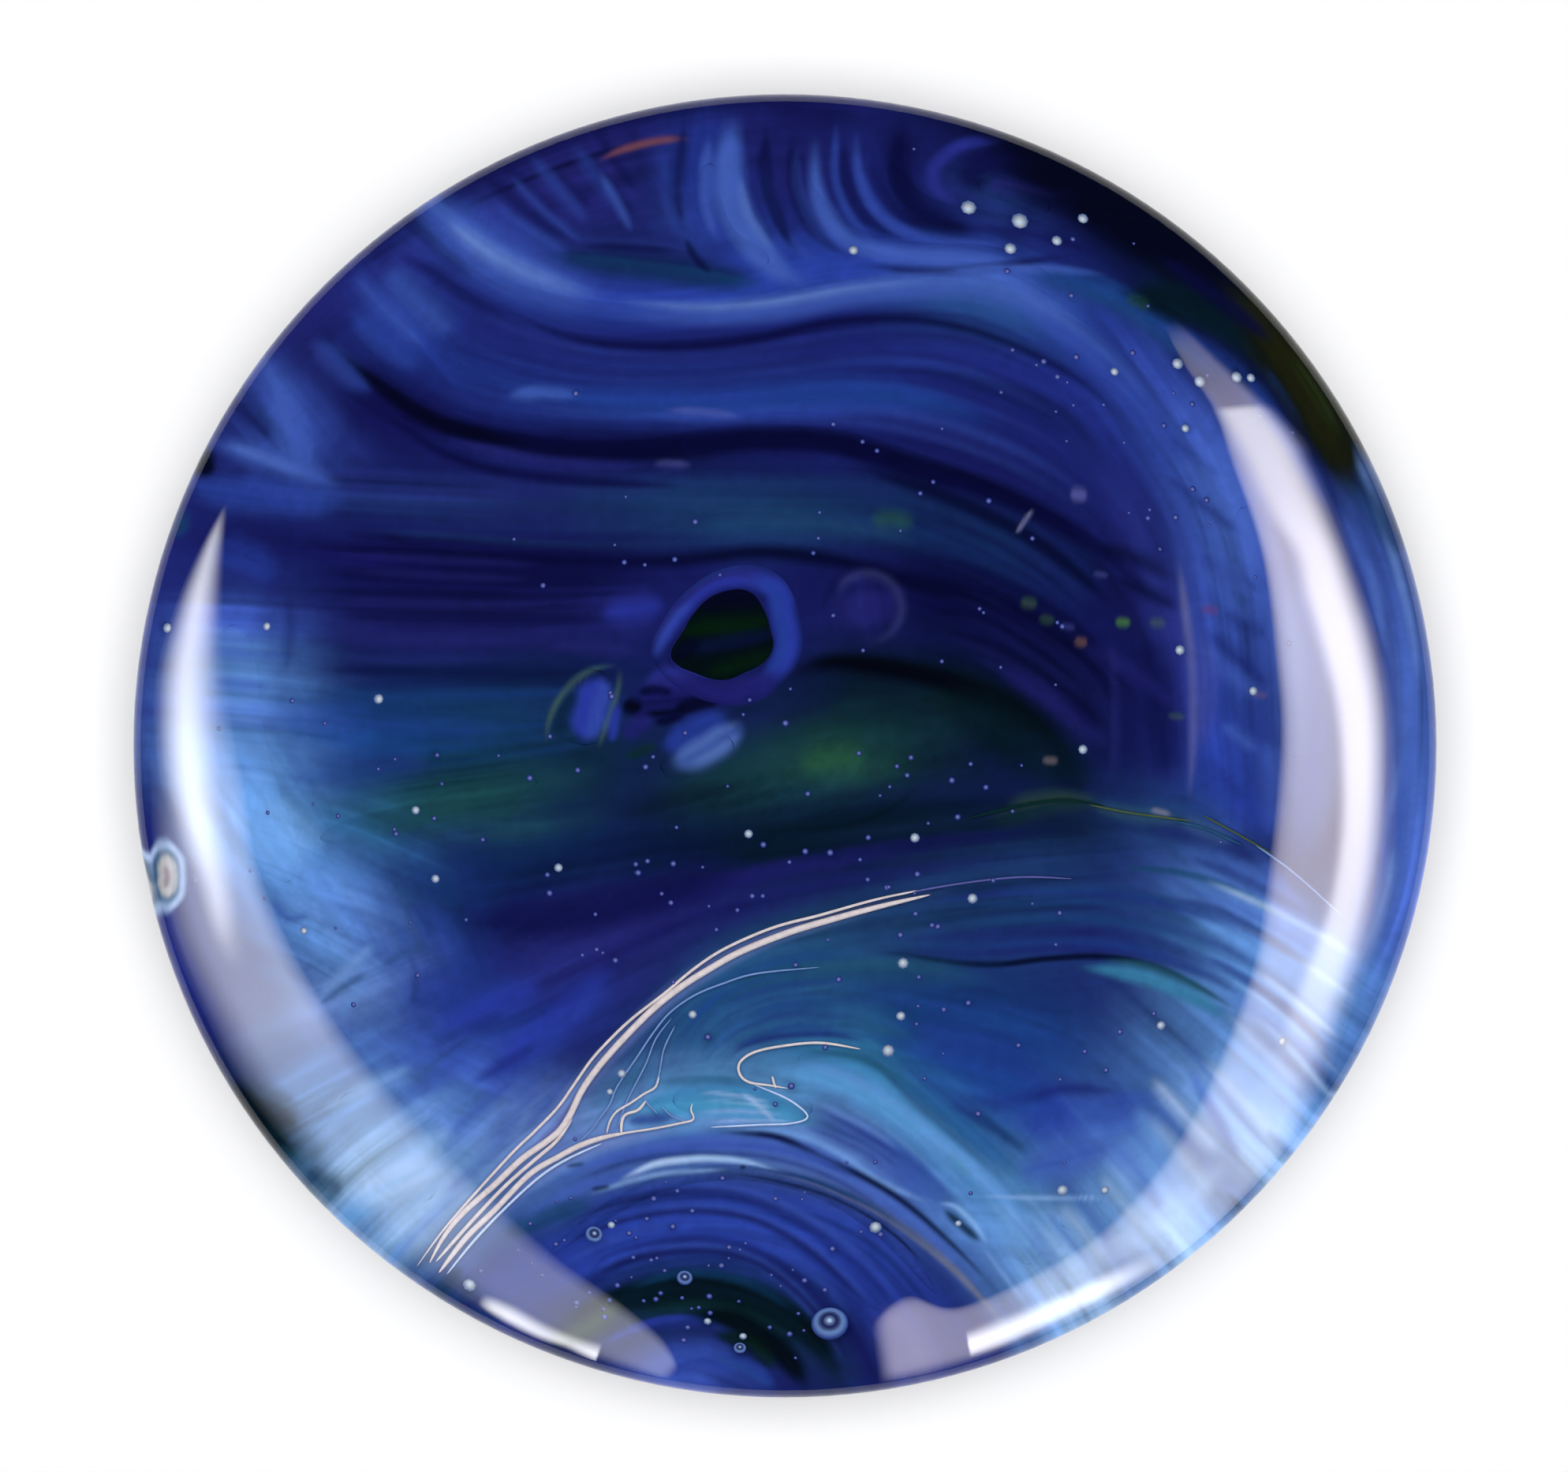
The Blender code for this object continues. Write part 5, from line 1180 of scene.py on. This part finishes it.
def green_gather():
    """The dark green gather under the ground, with rounded edges."""
    low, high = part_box("dark_green_base")
    round_edge = (high.z - low.z) / 2.0
    middle = (low.z + high.z) / 2.0
    centre = flank_radius(middle, CORE_INSET) - round_edge
    outline = [(0.0, high.z)]
    outline += arc((centre, middle), round_edge, 0.0, math.pi, FOOT_EDGE_STEPS)
    outline.append((0.0, low.z))
    return turned("dark_green_gather", outline)


def ground_quarter(name, right, far):
    """A quarter of the blue gather, closed all round, with its top's points spread evenly for the paint."""
    item = begin(bpy.ops.mesh.primitive_grid_add, name, size=1.0,
                 x_subdivisions=GROUND_STEPS, y_subdivisions=GROUND_STEPS)
    a, b, _ = places_of(item).T
    a = a + right / 2.0
    b = b + far / 2.0
    wide = np.abs(a) > np.abs(b)
    reach = np.where(wide, a, b)
    share = np.where(wide, b, a) / np.where(reach == 0.0, 1.0, reach) * math.pi / 4.0
    angle = np.where(wide, share, math.pi / 2.0 - share)
    radius = RIM_RADIUS * np.sign(reach) * np.abs(reach)**GROUND_SPREAD
    x = radius * np.cos(angle)
    y = radius * np.sin(angle)
    move_points(item, x, y, cap_height(np.hypot(x, y), GROUND_COAT))
    bpy.ops.object.mode_set(mode="EDIT")
    bpy.ops.mesh.select_all(action="SELECT")
    bpy.ops.mesh.region_to_loop()
    radius = RIM_RADIUS
    height = float(cap_height(RIM_RADIUS, GROUND_COAT))
    for lower in np.linspace(height, GROUND_BOTTOM, GROUND_SIDE_STEPS + 1)[1:]:
        narrower = flank_radius(lower, CORE_INSET)
        bpy.ops.mesh.extrude_region_move(TRANSFORM_OT_translate={"value": (0.0, 0.0, lower - height)})
        ratio = narrower / radius
        bpy.ops.transform.resize(value=(ratio, ratio, 1.0), center_override=(0.0, 0.0, lower))
        height = lower
        radius = narrower
    bpy.ops.mesh.edge_face_add()
    bpy.ops.object.mode_set(mode="OBJECT")
    close_up(item)
    bpy.ops.object.shade_smooth_by_angle(angle=SHARP_EDGE)
    return item


def taper(share):
    """Share of its full size that a trail has along its way, rounded off to nothing at both ends."""
    past_body = np.maximum(np.abs(2.0 * share - 1.0) - TRAIL_BODY_SHARE, 0.0) / (1.0 - TRAIL_BODY_SHARE)
    return np.sqrt(np.maximum(1.0 - past_body**2, 0.0))


def laid_out(route, share):
    """Places on a route for shares of its length, and the directions square to it."""
    steps = np.hypot(*np.diff(route, axis=0).T)
    passed = np.concatenate(([0.0], np.cumsum(steps)))
    passed /= passed[-1]
    ahead = np.gradient(route, axis=0)
    ahead /= np.hypot(ahead[:, 0], ahead[:, 1])[:, None]
    place = [np.interp(share, passed, route[:, axis]) for axis in (0, 1)]
    side = [np.interp(share, passed, sign * ahead[:, axis]) for axis, sign in ((1, -1.0), (0, 1.0))]
    return np.array(place), np.array(side)


def ball_along(name, route, steps_round):
    """A ball ready to be drawn out along a route: each point's share of the way, and its turn round it."""
    length = np.hypot(*np.diff(route, axis=0).T).sum()
    rings = max(int(length / TRAIL_STEP), FEWEST_RINGS)
    item = begin(bpy.ops.mesh.primitive_uv_sphere_add, name, radius=1.0,
                 segments=steps_round, ring_count=rings)
    x, y, z = places_of(item).T
    return item, np.arccos(np.clip(-z, -1.0, 1.0)) / math.pi, np.arctan2(y, x)


def trail(name, width, points):
    """A lens of glass drawn out along its route, with a shallow belly sunk in the ground."""
    route = smooth_route(np.array(points) * MM)
    item, share, turn = ball_along(name, route, TRAIL_STEPS_ROUND)
    place, side = laid_out(route, share)
    x, y = place + side * (np.cos(turn) * taper(share) * width * MM / 2.0)
    rise = TRAIL_RISE * np.maximum(np.sin(turn), 0.0)**TRAIL_ROUNDING
    rise += TRAIL_BELLY * np.minimum(np.sin(turn), 0.0)
    move_points(item, x, y, cap_height(np.hypot(x, y), GROUND_COAT - TRAIL_SINK) + rise * taper(share))
    return close_up(item)


def strand(name, radius, pixels):
    """A round strand of glass over the ground, along a route seen in the photo."""
    route = smooth_route([seen_place(across, down, SWIRL_LIFT).xy for across, down in pixels])
    item, share, turn = ball_along(name, route, THREAD_STEPS_ROUND)
    place, side = laid_out(route, share)
    thick = radius * taper(share)
    x, y = place + side * np.cos(turn) * thick
    move_points(item, x, y, cap_height(np.hypot(x, y), SWIRL_LIFT) + np.sin(turn) * thick)
    return close_up(item)


def thread(name, strands):
    """A thread of one or more strands, each in its own tone, joined in one piece."""
    made = []
    for tone, radius, pixels in strands:
        made.append(strand(name, radius * MM, pixels))
        put_paint(made[-1:], tone, (), ())
    for item in made:
        item.select_set(True)
    bpy.ops.object.join()
    bpy.context.object.name = name
    return bpy.context.object


def round_outline(pixels):
    """A closed outline seen in the photo, as reach by turn about the eye's middle."""
    middle = seen_place(*EYE_MIDDLE, SWIRL_LIFT).xy
    away = np.array([seen_place(across, down, SWIRL_LIFT).xy - middle for across, down in pixels])
    turn = np.arctan2(away[:, 1], away[:, 0])
    order = np.argsort(turn)
    fine = np.linspace(-math.pi, math.pi, OUTLINE_STEPS)
    reach = np.interp(fine, turn[order], np.hypot(away[:, 0], away[:, 1])[order], period=2.0 * math.pi)
    soft = np.hanning(OUTLINE_BLUR) / np.hanning(OUTLINE_BLUR).sum()
    wrapped = np.concatenate((reach[-OUTLINE_BLUR:-1], reach, reach[1:OUTLINE_BLUR]))
    return fine, np.convolve(wrapped, soft, "same")[OUTLINE_BLUR - 1:1 - OUTLINE_BLUR]


def eye_piece(item, turn, reach, rise):
    """Lay a piece of the eye at a turn and reach from its middle."""
    middle = seen_place(*EYE_MIDDLE, SWIRL_LIFT)
    x = middle.x + reach * np.cos(turn)
    y = middle.y + reach * np.sin(turn)
    move_points(item, x, y, cap_height(np.hypot(x, y), GROUND_COAT - EYE_SINK) + rise)
    return close_up(item)


def eye_ring():
    """The uneven blue ring of the eye."""
    item = begin(bpy.ops.mesh.primitive_torus_add, "eye_ring_glass", major_radius=1.0,
                 minor_radius=TUBE_RADIUS, major_segments=EYE_STEPS, minor_segments=EYE_STEPS_ROUND)
    x, y, z = places_of(item).T
    turn = np.arctan2(y, x)
    out = (np.hypot(x, y) - 1.0) / TUBE_RADIUS
    inside = np.interp(turn, *round_outline(PUPIL_OUTLINE))
    outside = np.interp(turn, *round_outline(RING_OUTLINE))
    reach = (inside + outside) / 2.0 + out * (outside - inside) / 2.0
    return eye_piece(item, turn, reach, TRAIL_RISE * np.maximum(z / TUBE_RADIUS, 0.0)**EYE_ROUNDING)


def eye_pupil():
    """The dark drop in the eye, sunk a little in its ring."""
    item = begin(bpy.ops.mesh.primitive_uv_sphere_add, "eye_pupil_glass", radius=1.0,
                 segments=EYE_STEPS, ring_count=EYE_STEPS_ROUND)
    x, y, z = places_of(item).T
    turn = np.arctan2(y, x)
    reach = np.hypot(x, y) * np.interp(turn, *round_outline(PUPIL_OUTLINE))
    return eye_piece(item, turn, reach, TRAIL_RISE * PUPIL_SHARE * np.maximum(z, 0.0))


# Finishes

MOTTLE_DETAIL = 4.0
MOTTLE_DISTORTION = 0.6
MOTTLE_RANGE = (0.3, 0.7)
FUSED_ROUGHNESS = (0.35, 0.6)
FOOT_ROUGHNESS = 0.3


def node(tree, kind, **values):
    """Add a node and set its plain values."""
    made = tree.nodes.new(kind)
    for key, value in values.items():
        setattr(made, key, value)
    return made


def new_finish(name):
    """A new material, with its node tree and its shader."""
    material = bpy.data.materials.new(name)
    material.use_nodes = True
    return material, material.node_tree, material.node_tree.nodes["Principled BSDF"]


def fused_glass_group():
    """Fine mottling of fused glass, as an effect over a painted colour."""
    tree = bpy.data.node_groups.new("fused_glass", "ShaderNodeTree")
    face = tree.interface
    face.new_socket("Colour", in_out="INPUT", socket_type="NodeSocketColor")
    face.new_socket("Mottle Size", in_out="INPUT", socket_type="NodeSocketFloat")
    face.new_socket("Mottle Depth", in_out="INPUT", socket_type="NodeSocketFloat")
    face.new_socket("Colour", in_out="OUTPUT", socket_type="NodeSocketColor")
    face.new_socket("Roughness", in_out="OUTPUT", socket_type="NodeSocketFloat")
    given = node(tree, "NodeGroupInput")
    put_out = node(tree, "NodeGroupOutput")
    place = node(tree, "ShaderNodeTexCoord")
    scale = node(tree, "ShaderNodeMath", operation="DIVIDE")
    scale.inputs[0].default_value = 1.0
    noise = node(tree, "ShaderNodeTexNoise")
    noise.inputs["Detail"].default_value = MOTTLE_DETAIL
    noise.inputs["Distortion"].default_value = MOTTLE_DISTORTION
    depth = node(tree, "ShaderNodeMapRange")
    depth.inputs["From Min"].default_value = MOTTLE_RANGE[0]
    depth.inputs["From Max"].default_value = MOTTLE_RANGE[1]
    depth.inputs["To Max"].default_value = 1.0
    lower = node(tree, "ShaderNodeMath", operation="SUBTRACT")
    lower.inputs[0].default_value = 1.0
    shade = node(tree, "ShaderNodeMix", data_type="RGBA", blend_type="MULTIPLY")
    shade.inputs["Factor"].default_value = 1.0
    rough = node(tree, "ShaderNodeMapRange")
    rough.inputs["To Min"].default_value = FUSED_ROUGHNESS[0]
    rough.inputs["To Max"].default_value = FUSED_ROUGHNESS[1]
    tree.links.new(given.outputs["Mottle Size"], scale.inputs[1])
    tree.links.new(place.outputs["Object"], noise.inputs["Vector"])
    tree.links.new(scale.outputs[0], noise.inputs["Scale"])
    tree.links.new(noise.outputs[0], depth.inputs["Value"])
    tree.links.new(given.outputs["Mottle Depth"], lower.inputs[1])
    tree.links.new(lower.outputs[0], depth.inputs["To Min"])
    tree.links.new(given.outputs["Colour"], shade.inputs["A"])
    tree.links.new(depth.outputs[0], shade.inputs["B"])
    tree.links.new(noise.outputs[0], rough.inputs["Value"])
    tree.links.new(shade.outputs["Result"], put_out.inputs["Colour"])
    tree.links.new(rough.outputs[0], put_out.inputs["Roughness"])
    return tree


def swirl_glass(name, mottle_size, mottle_depth):
    """Coloured glass that takes its colour from the paint on its points."""
    material, tree, shader = new_finish(name)
    shader.inputs["Specular IOR Level"].default_value = 0.0
    paint = node(tree, "ShaderNodeAttribute", attribute_name="paint")
    fused = node(tree, "ShaderNodeGroup", node_tree=FUSED_GLASS)
    fused.inputs["Mottle Size"].default_value = mottle_size
    fused.inputs["Mottle Depth"].default_value = mottle_depth
    tree.links.new(paint.outputs["Color"], fused.inputs["Colour"])
    tree.links.new(fused.outputs["Colour"], shader.inputs["Base Color"])
    tree.links.new(fused.outputs["Roughness"], shader.inputs["Roughness"])
    return material


def casing_glass():
    """Clear polished glass, with the foot ground dull where it stands."""
    material, tree, shader = new_finish("clear_glass")
    shader.inputs["Base Color"].default_value = (1.0, 1.0, 1.0, 1.0)
    shader.inputs["IOR"].default_value = GLASS_IOR
    shader.inputs["Transmission Weight"].default_value = 1.0
    place = node(tree, "ShaderNodeTexCoord")
    split = node(tree, "ShaderNodeSeparateXYZ")
    dull = node(tree, "ShaderNodeMapRange", interpolation_type="SMOOTHSTEP")
    dull.inputs["From Min"].default_value = 0.0
    dull.inputs["From Max"].default_value = FOOT_EDGE_RADIUS
    dull.inputs["To Min"].default_value = FOOT_ROUGHNESS
    dull.inputs["To Max"].default_value = 0.0
    tree.links.new(place.outputs["Object"], split.inputs[0])
    tree.links.new(split.outputs["Z"], dull.inputs["Value"])
    tree.links.new(dull.outputs[0], shader.inputs["Roughness"])
    return material


FUSED_GLASS = fused_glass_group()


def dress(item, material, slot, *nodes):
    """Give a piece its finish, say what it rides on, and hide the parts of the source that it takes the
    place of.
    """
    item.data.materials.clear()
    item.data.materials.append(material)
    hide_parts(*nodes)
    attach(item, "root")
    return item


def colour_points(item, paint):
    """Put a colour on each of a piece's points."""
    colours = np.ones((len(paint), 4))
    colours[:, :3] = paint
    layer = item.data.color_attributes.new("paint", "FLOAT_COLOR", "POINT")
    layer.data.foreach_set("color", colours.ravel())


def put_paint(items, base, washes, streaks):
    """Paint washes and streaks over a base colour on the points of all these pieces."""
    spots = [places_of(item)[:, :2] for item in items]
    paint = paint_at(np.concatenate(spots), base, washes, streaks)
    first = 0
    for item, own in zip(items, spots):
        colour_points(item, paint[first:first + len(own)])
        first += len(own)


def bubble(steps, tones):
    """One bubble to copy, toned from its middle to its edge as it is seen from above: the tones are painted
    light, a painted highlight in the middle and painted shade and reflection towards the edge.
    """
    item = begin(bpy.ops.mesh.primitive_uv_sphere_add, "bubble", radius=1.0,
                 segments=steps[0], ring_count=steps[1])
    bpy.ops.object.shade_smooth()
    x, y, _ = places_of(item).T
    out = np.hypot(x, y)
    shares = np.linspace(0.0, 1.0, len(tones))
    painted_light_levels = np.array([linear(COLOURS[tone]) for tone in tones])
    colour_points(item, np.stack([np.interp(out, shares, level) for level in painted_light_levels.T], 1))
    return item


def scattered(name, model, rows):
    """Copies of a bubble at places seen in the photo, joined in one piece."""
    bpy.ops.object.select_all(action="DESELECT")
    for across, down, size, lift in rows:
        copy = model.copy()
        copy.data = model.data.copy()
        copy.location = seen_place(across, down, lift * MM)
        copy.scale = Vector.Fill(3, size * PIXEL / 2.0)
        bpy.context.collection.objects.link(copy)
        copy.select_set(True)
    bpy.context.view_layer.objects.active = copy
    bpy.ops.object.join()
    bpy.ops.object.transform_apply(location=True, rotation=True, scale=True)
    bpy.data.objects.remove(model)
    copy.name = name
    return copy


def seed_rows():
    """Rows of place, size and lift for the fine seeds."""
    chance = np.random.default_rng(SEED_NUMBER)
    rows = []
    for across, down, wide, high, count, lowest, highest in SEED_ZONES:
        for _ in range(count):
            rows.append((chance.normal(across, wide), chance.normal(down, high),
                         chance.uniform(*SEED_SIZES), chance.uniform(lowest, highest)))
    return [row for row in rows if math.hypot(row[0] - WEIGHT_ACROSS, row[1] - WEIGHT_DOWN) < SEED_REACH]


# Building the weight

# The coloured glasses: how large their mottling is in millimetres, and how deep
SWIRL_GLASSES = (
    ("cobalt_glass", 0.9, 0.15),
    ("indigo_glass", 0.8, 0.2),
    ("violet_glass", 0.8, 0.15),
    ("cornflower_glass", 1.0, 0.12),
    ("sky_glass", 1.2, 0.1),
    ("aqua_glass", 1.0, 0.1),
    ("teal_glass", 0.9, 0.15),
    ("pool_green_glass", 0.7, 0.2),
    ("bottle_green_glass", 0.7, 0.2),
    ("olive_glass", 0.5, 0.2),
    ("cream_glass", 0.4, 0.2),
    # The bubbles' finish, whose colours are painted highlight, shade and reflection
    ("bubble_painted_light", 0.3, 0.1),
)
FINISHES = {name: swirl_glass(name, size * MM, depth) for name, size, depth in SWIRL_GLASSES}

# The blue gather's quarters, by which side of the middle they lie on
GROUND_QUARTERS = (
    ("cobalt_gather_right_far", 1, 1),
    ("cobalt_gather_left_far", -1, 1),
    ("cobalt_gather_left_near", -1, -1),
    ("cobalt_gather_right_near", 1, -1),
)

casing = dress(clear_casing(), casing_glass(), "clear_glass", "clear_dome", "clear_foot")
casing.visible_shadow = False

gather = dress(green_gather(), FINISHES["bottle_green_glass"], "bottle_green_glass", "dark_green_base")
put_paint([gather], "black_green", (), ())
painted = []
for name, right, far in GROUND_QUARTERS:
    quarter = ground_quarter(name, right, far)
    painted.append(dress(quarter, FINISHES["cobalt_glass"], "cobalt_glass", "cobalt_ground"))
for name, slot, width, points in TRAILS:
    painted.append(dress(trail(name + "_glass", width, points), FINISHES[slot], slot, name))
put_paint(painted, "deep", WASHES, STREAKS)
for name, slot, strands in THREADS:
    dress(thread(name + "_glass", strands), FINISHES[slot], slot, name)
ring = dress(eye_ring(), FINISHES["cornflower_glass"], "cornflower_glass", "eye_ring")
put_paint([ring], "deep", WASHES, STREAKS + RING_STREAKS)
pupil = dress(eye_pupil(), FINISHES["bottle_green_glass"], "bottle_green_glass", "eye_pupil")
put_paint([pupil], "black_green", (), PUPIL_STREAKS)
# The bubbles' tones run from middle to edge and are painted light: a painted highlight in the middle,
# painted shade and reflection towards the edge
for name, steps, tones, rows in (
        ("bright_bubbles", BUBBLE_STEPS, ("ice", "cream", "grey", "haze"), BRIGHT_BUBBLES),
        ("seed_bubbles", BUBBLE_STEPS, ("grey", "lilac", "corn", "cobalt"), seed_rows()),
        ("ring_bubbles", RING_BUBBLE_STEPS, ("ice", "deep", "navy", "haze", "corn"), RING_BUBBLES)):
    dress(scattered(name, bubble(steps, tones), rows), FINISHES["bubble_painted_light"], "clear_glass")


# Floor, light and camera

FLOOR_SIZE = 12.0
FLOOR_COLOUR = (0.92, 0.92, 0.93, 1.0)
FLOOR_ROUGHNESS = 0.9
CEILING_SIZE = 2.0
CEILING_HEIGHT = 2.0
CEILING_POWER = 56.0
ROOM_LEVEL = 0.015
FAR_SOFTBOX = 0.9
NEAR_SOFTBOX = 0.8
SOFTBOX_STEPS = (120, 12)


def floor():
    """A plain pale floor."""
    item = begin(bpy.ops.mesh.primitive_plane_add, "floor", size=FLOOR_SIZE)
    material, _, shader = new_finish("pale_floor")
    shader.inputs["Base Color"].default_value = FLOOR_COLOUR
    shader.inputs["Roughness"].default_value = FLOOR_ROUGHNESS
    shader.inputs["Specular IOR Level"].default_value = 0.0
    item.data.materials.append(material)


def ceiling_light():
    """The large soft light above, kept out of the dome's reflections as a photographer's flag does."""
    bpy.ops.object.light_add(type="AREA", location=(0.0, 0.0, CEILING_HEIGHT))
    lamp = bpy.context.object
    lamp.name = "ceiling_light"
    lamp.data.size = CEILING_SIZE
    lamp.data.energy = CEILING_POWER
    lamp.visible_glossy = False
    lamp.visible_transmission = False


def softbox(name, distance, colour, edges, ends, rows):
    """A curved strip light, placed where the dome mirrors it at the photo's pixels.

    A row has a pixel on the mirrored light's inner side, one on its outer side, and the strength there.
    The edges and the ends are the shares of its width and length over which it fades.
    """
    item = begin(bpy.ops.mesh.primitive_grid_add, name, size=1.0,
                 x_subdivisions=SOFTBOX_STEPS[0], y_subdivisions=SOFTBOX_STEPS[1])
    u, v, _ = places_of(item).T + 0.5
    inner = smooth_route([row[0] for row in rows])
    outer = smooth_route([row[1] for row in rows])
    share = np.linspace(0.0, 1.0, len(inner))
    inner = np.array([np.interp(u, share, inner[:, axis]) for axis in (0, 1)])
    outer = np.array([np.interp(u, share, outer[:, axis]) for axis in (0, 1)])
    pixels = inner * (1.0 - v) + outer * v
    places = np.array([mirrored_place(across, down, distance) for across, down in zip(*pixels)])
    move_points(item, *places.T)
    strength = np.interp(u, np.linspace(0.0, 1.0, len(rows)), [row[2] for row in rows])
    glow = strength * ease(v / edges[0]) * ease((1.0 - v) / edges[1])
    glow *= ease(u / ends[0]) * ease((1.0 - u) / ends[1])
    layer = item.data.attributes.new("glow", "FLOAT", "POINT")
    layer.data.foreach_set("value", glow)
    material = bpy.data.materials.new(name)
    material.use_nodes = True
    tree = material.node_tree
    tree.nodes.clear()
    lamp = node(tree, "ShaderNodeEmission")
    lamp.inputs["Color"].default_value = (*colour, 1.0)
    level = node(tree, "ShaderNodeAttribute", attribute_name="glow")
    gauze = node(tree, "ShaderNodeBsdfTransparent")
    both = node(tree, "ShaderNodeAddShader")
    put_out = node(tree, "ShaderNodeOutputMaterial")
    tree.links.new(level.outputs["Fac"], lamp.inputs["Strength"])
    tree.links.new(lamp.outputs[0], both.inputs[0])
    tree.links.new(gauze.outputs[0], both.inputs[1])
    tree.links.new(both.outputs[0], put_out.inputs["Surface"])
    item.data.materials.append(material)
    item.visible_camera = False
    item.visible_diffuse = False
    item.visible_transmission = False
    item.visible_shadow = False


def camera():
    """Straight down, framed as the photo is."""
    bpy.ops.object.camera_add(location=CAMERA_PLACE, rotation=(0.0, 0.0, 0.0))
    eye = bpy.context.object
    eye.data.sensor_fit = "HORIZONTAL"
    eye.data.sensor_width = SENSOR_WIDTH
    eye.data.lens = SENSOR_WIDTH * CAMERA_DISTANCE / (PHOTO_WIDTH * PIXEL)
    bpy.context.scene.camera = eye


def room():
    """Dim grey all round, so that the dome mirrors little but the strip lights."""
    world = bpy.data.worlds.new("room")
    world.use_nodes = True
    walls = world.node_tree.nodes["Background"]
    walls.inputs["Color"].default_value = (ROOM_LEVEL, ROOM_LEVEL, ROOM_LEVEL, 1.0)
    bpy.context.scene.world = world


WHITE = (1.0, 1.0, 1.0)
LAVENDER = (0.85, 0.88, 1.0)
ROSE = (1.0, 0.91, 0.92)
floor()
ceiling_light()
softbox("right_softbox", FAR_SOFTBOX, ROSE, (0.12, 0.3), (0.05, 0.04), (
    ((1474, 412), (1492, 404), 1.0), ((1500, 462), (1545, 452), 2.6),
    ((1538, 520), (1605, 508), 4.5), ((1558, 580), (1652, 568), 7.0),
    ((1598, 700), (1706, 690), 10.8), ((1616, 838), (1756, 830), 10.2),
    ((1622, 950), (1772, 950), 9.2), ((1604, 1125), (1764, 1140), 8.5),
    ((1580, 1250), (1716, 1280), 7.0), ((1505, 1425), (1640, 1475), 6.0),
    ((1415, 1542), (1530, 1600), 5.0), ((1330, 1604), (1425, 1660), 4.5),
    ((1215, 1656), (1270, 1722), 5.0), ((1150, 1642), (1180, 1756), 6.0),
    ((1104, 1676), (1116, 1768), 6.0)))
softbox("right_softbox_core", NEAR_SOFTBOX, WHITE, (0.3, 0.5), (0.02, 0.2), (
    ((1534, 516), (1610, 508), 10.5), ((1556, 564), (1656, 556), 9.0),
    ((1572, 593), (1668, 586), 8.8), ((1586, 623), (1682, 616), 8.3),
    ((1607, 662), (1700, 656), 8.8), ((1634, 702), (1714, 697), 9.8),
    ((1645, 752), (1730, 748), 11.2), ((1660, 801), (1746, 799), 12.0),
    ((1682, 880), (1761, 880), 12.5), ((1692, 960), (1764, 960), 13.0),
    ((1692, 1060), (1758, 1062), 11.8), ((1674, 1158), (1742, 1166), 10.0),
    ((1636, 1256), (1712, 1274), 8.0), ((1600, 1354), (1664, 1376), 4.0),
    ((1562, 1440), (1612, 1462), 2.5)))
softbox("right_low_strip", NEAR_SOFTBOX, WHITE, (0.5, 0.5), (0.3, 0.05), (
    ((1480, 1574), (1490, 1604), 8.0), ((1400, 1610), (1412, 1646), 14.0),
    ((1320, 1646), (1330, 1686), 16.0), ((1260, 1670), (1272, 1714), 18.0),
    ((1222, 1686), (1230, 1728), 20.0)))
softbox("left_softbox", FAR_SOFTBOX, LAVENDER, (0.15, 0.4), (0.1, 0.04), (
    ((290, 800), (206, 800), 1.0), ((292, 900), (194, 900), 2.0),
    ((312, 1000), (188, 1000), 5.5), ((326, 1090), (190, 1100), 7.5),
    ((358, 1175), (208, 1190), 8.0), ((405, 1262), (254, 1290), 8.0),
    ((468, 1350), (306, 1388), 5.2), ((556, 1448), (395, 1492), 3.6),
    ((636, 1530), (492, 1588), 3.4), ((710, 1596), (584, 1656), 4.0),
    ((786, 1650), (688, 1708), 4.5), ((840, 1696), (785, 1744), 4.5),
    ((862, 1734), (846, 1762), 4.0)))
softbox("left_softbox_core", NEAR_SOFTBOX, WHITE, (0.6, 0.5), (0.1, 0.2), (
    ((290, 636), (282, 640), 6.0), ((285, 700), (250, 700), 12.0),
    ((283, 770), (220, 770), 16.0), ((284, 860), (196, 860), 16.5),
    ((286, 960), (197, 960), 17.0), ((292, 1040), (218, 1050), 16.0),
    ((302, 1110), (243, 1120), 11.0), ((310, 1180), (264, 1190), 7.0),
    ((318, 1230), (292, 1240), 3.0)))
softbox("left_low_strip", NEAR_SOFTBOX, WHITE, (0.5, 0.5), (0.15, 0.05), (
    ((612, 1636), (600, 1658), 12.0), ((652, 1652), (637, 1685), 18.0),
    ((692, 1674), (678, 1706), 16.0), ((727, 1690), (716, 1717), 12.0),
    ((766, 1702), (752, 1741), 20.0)))
camera()
room()
bpy.context.scene.view_settings.view_transform = "Standard"
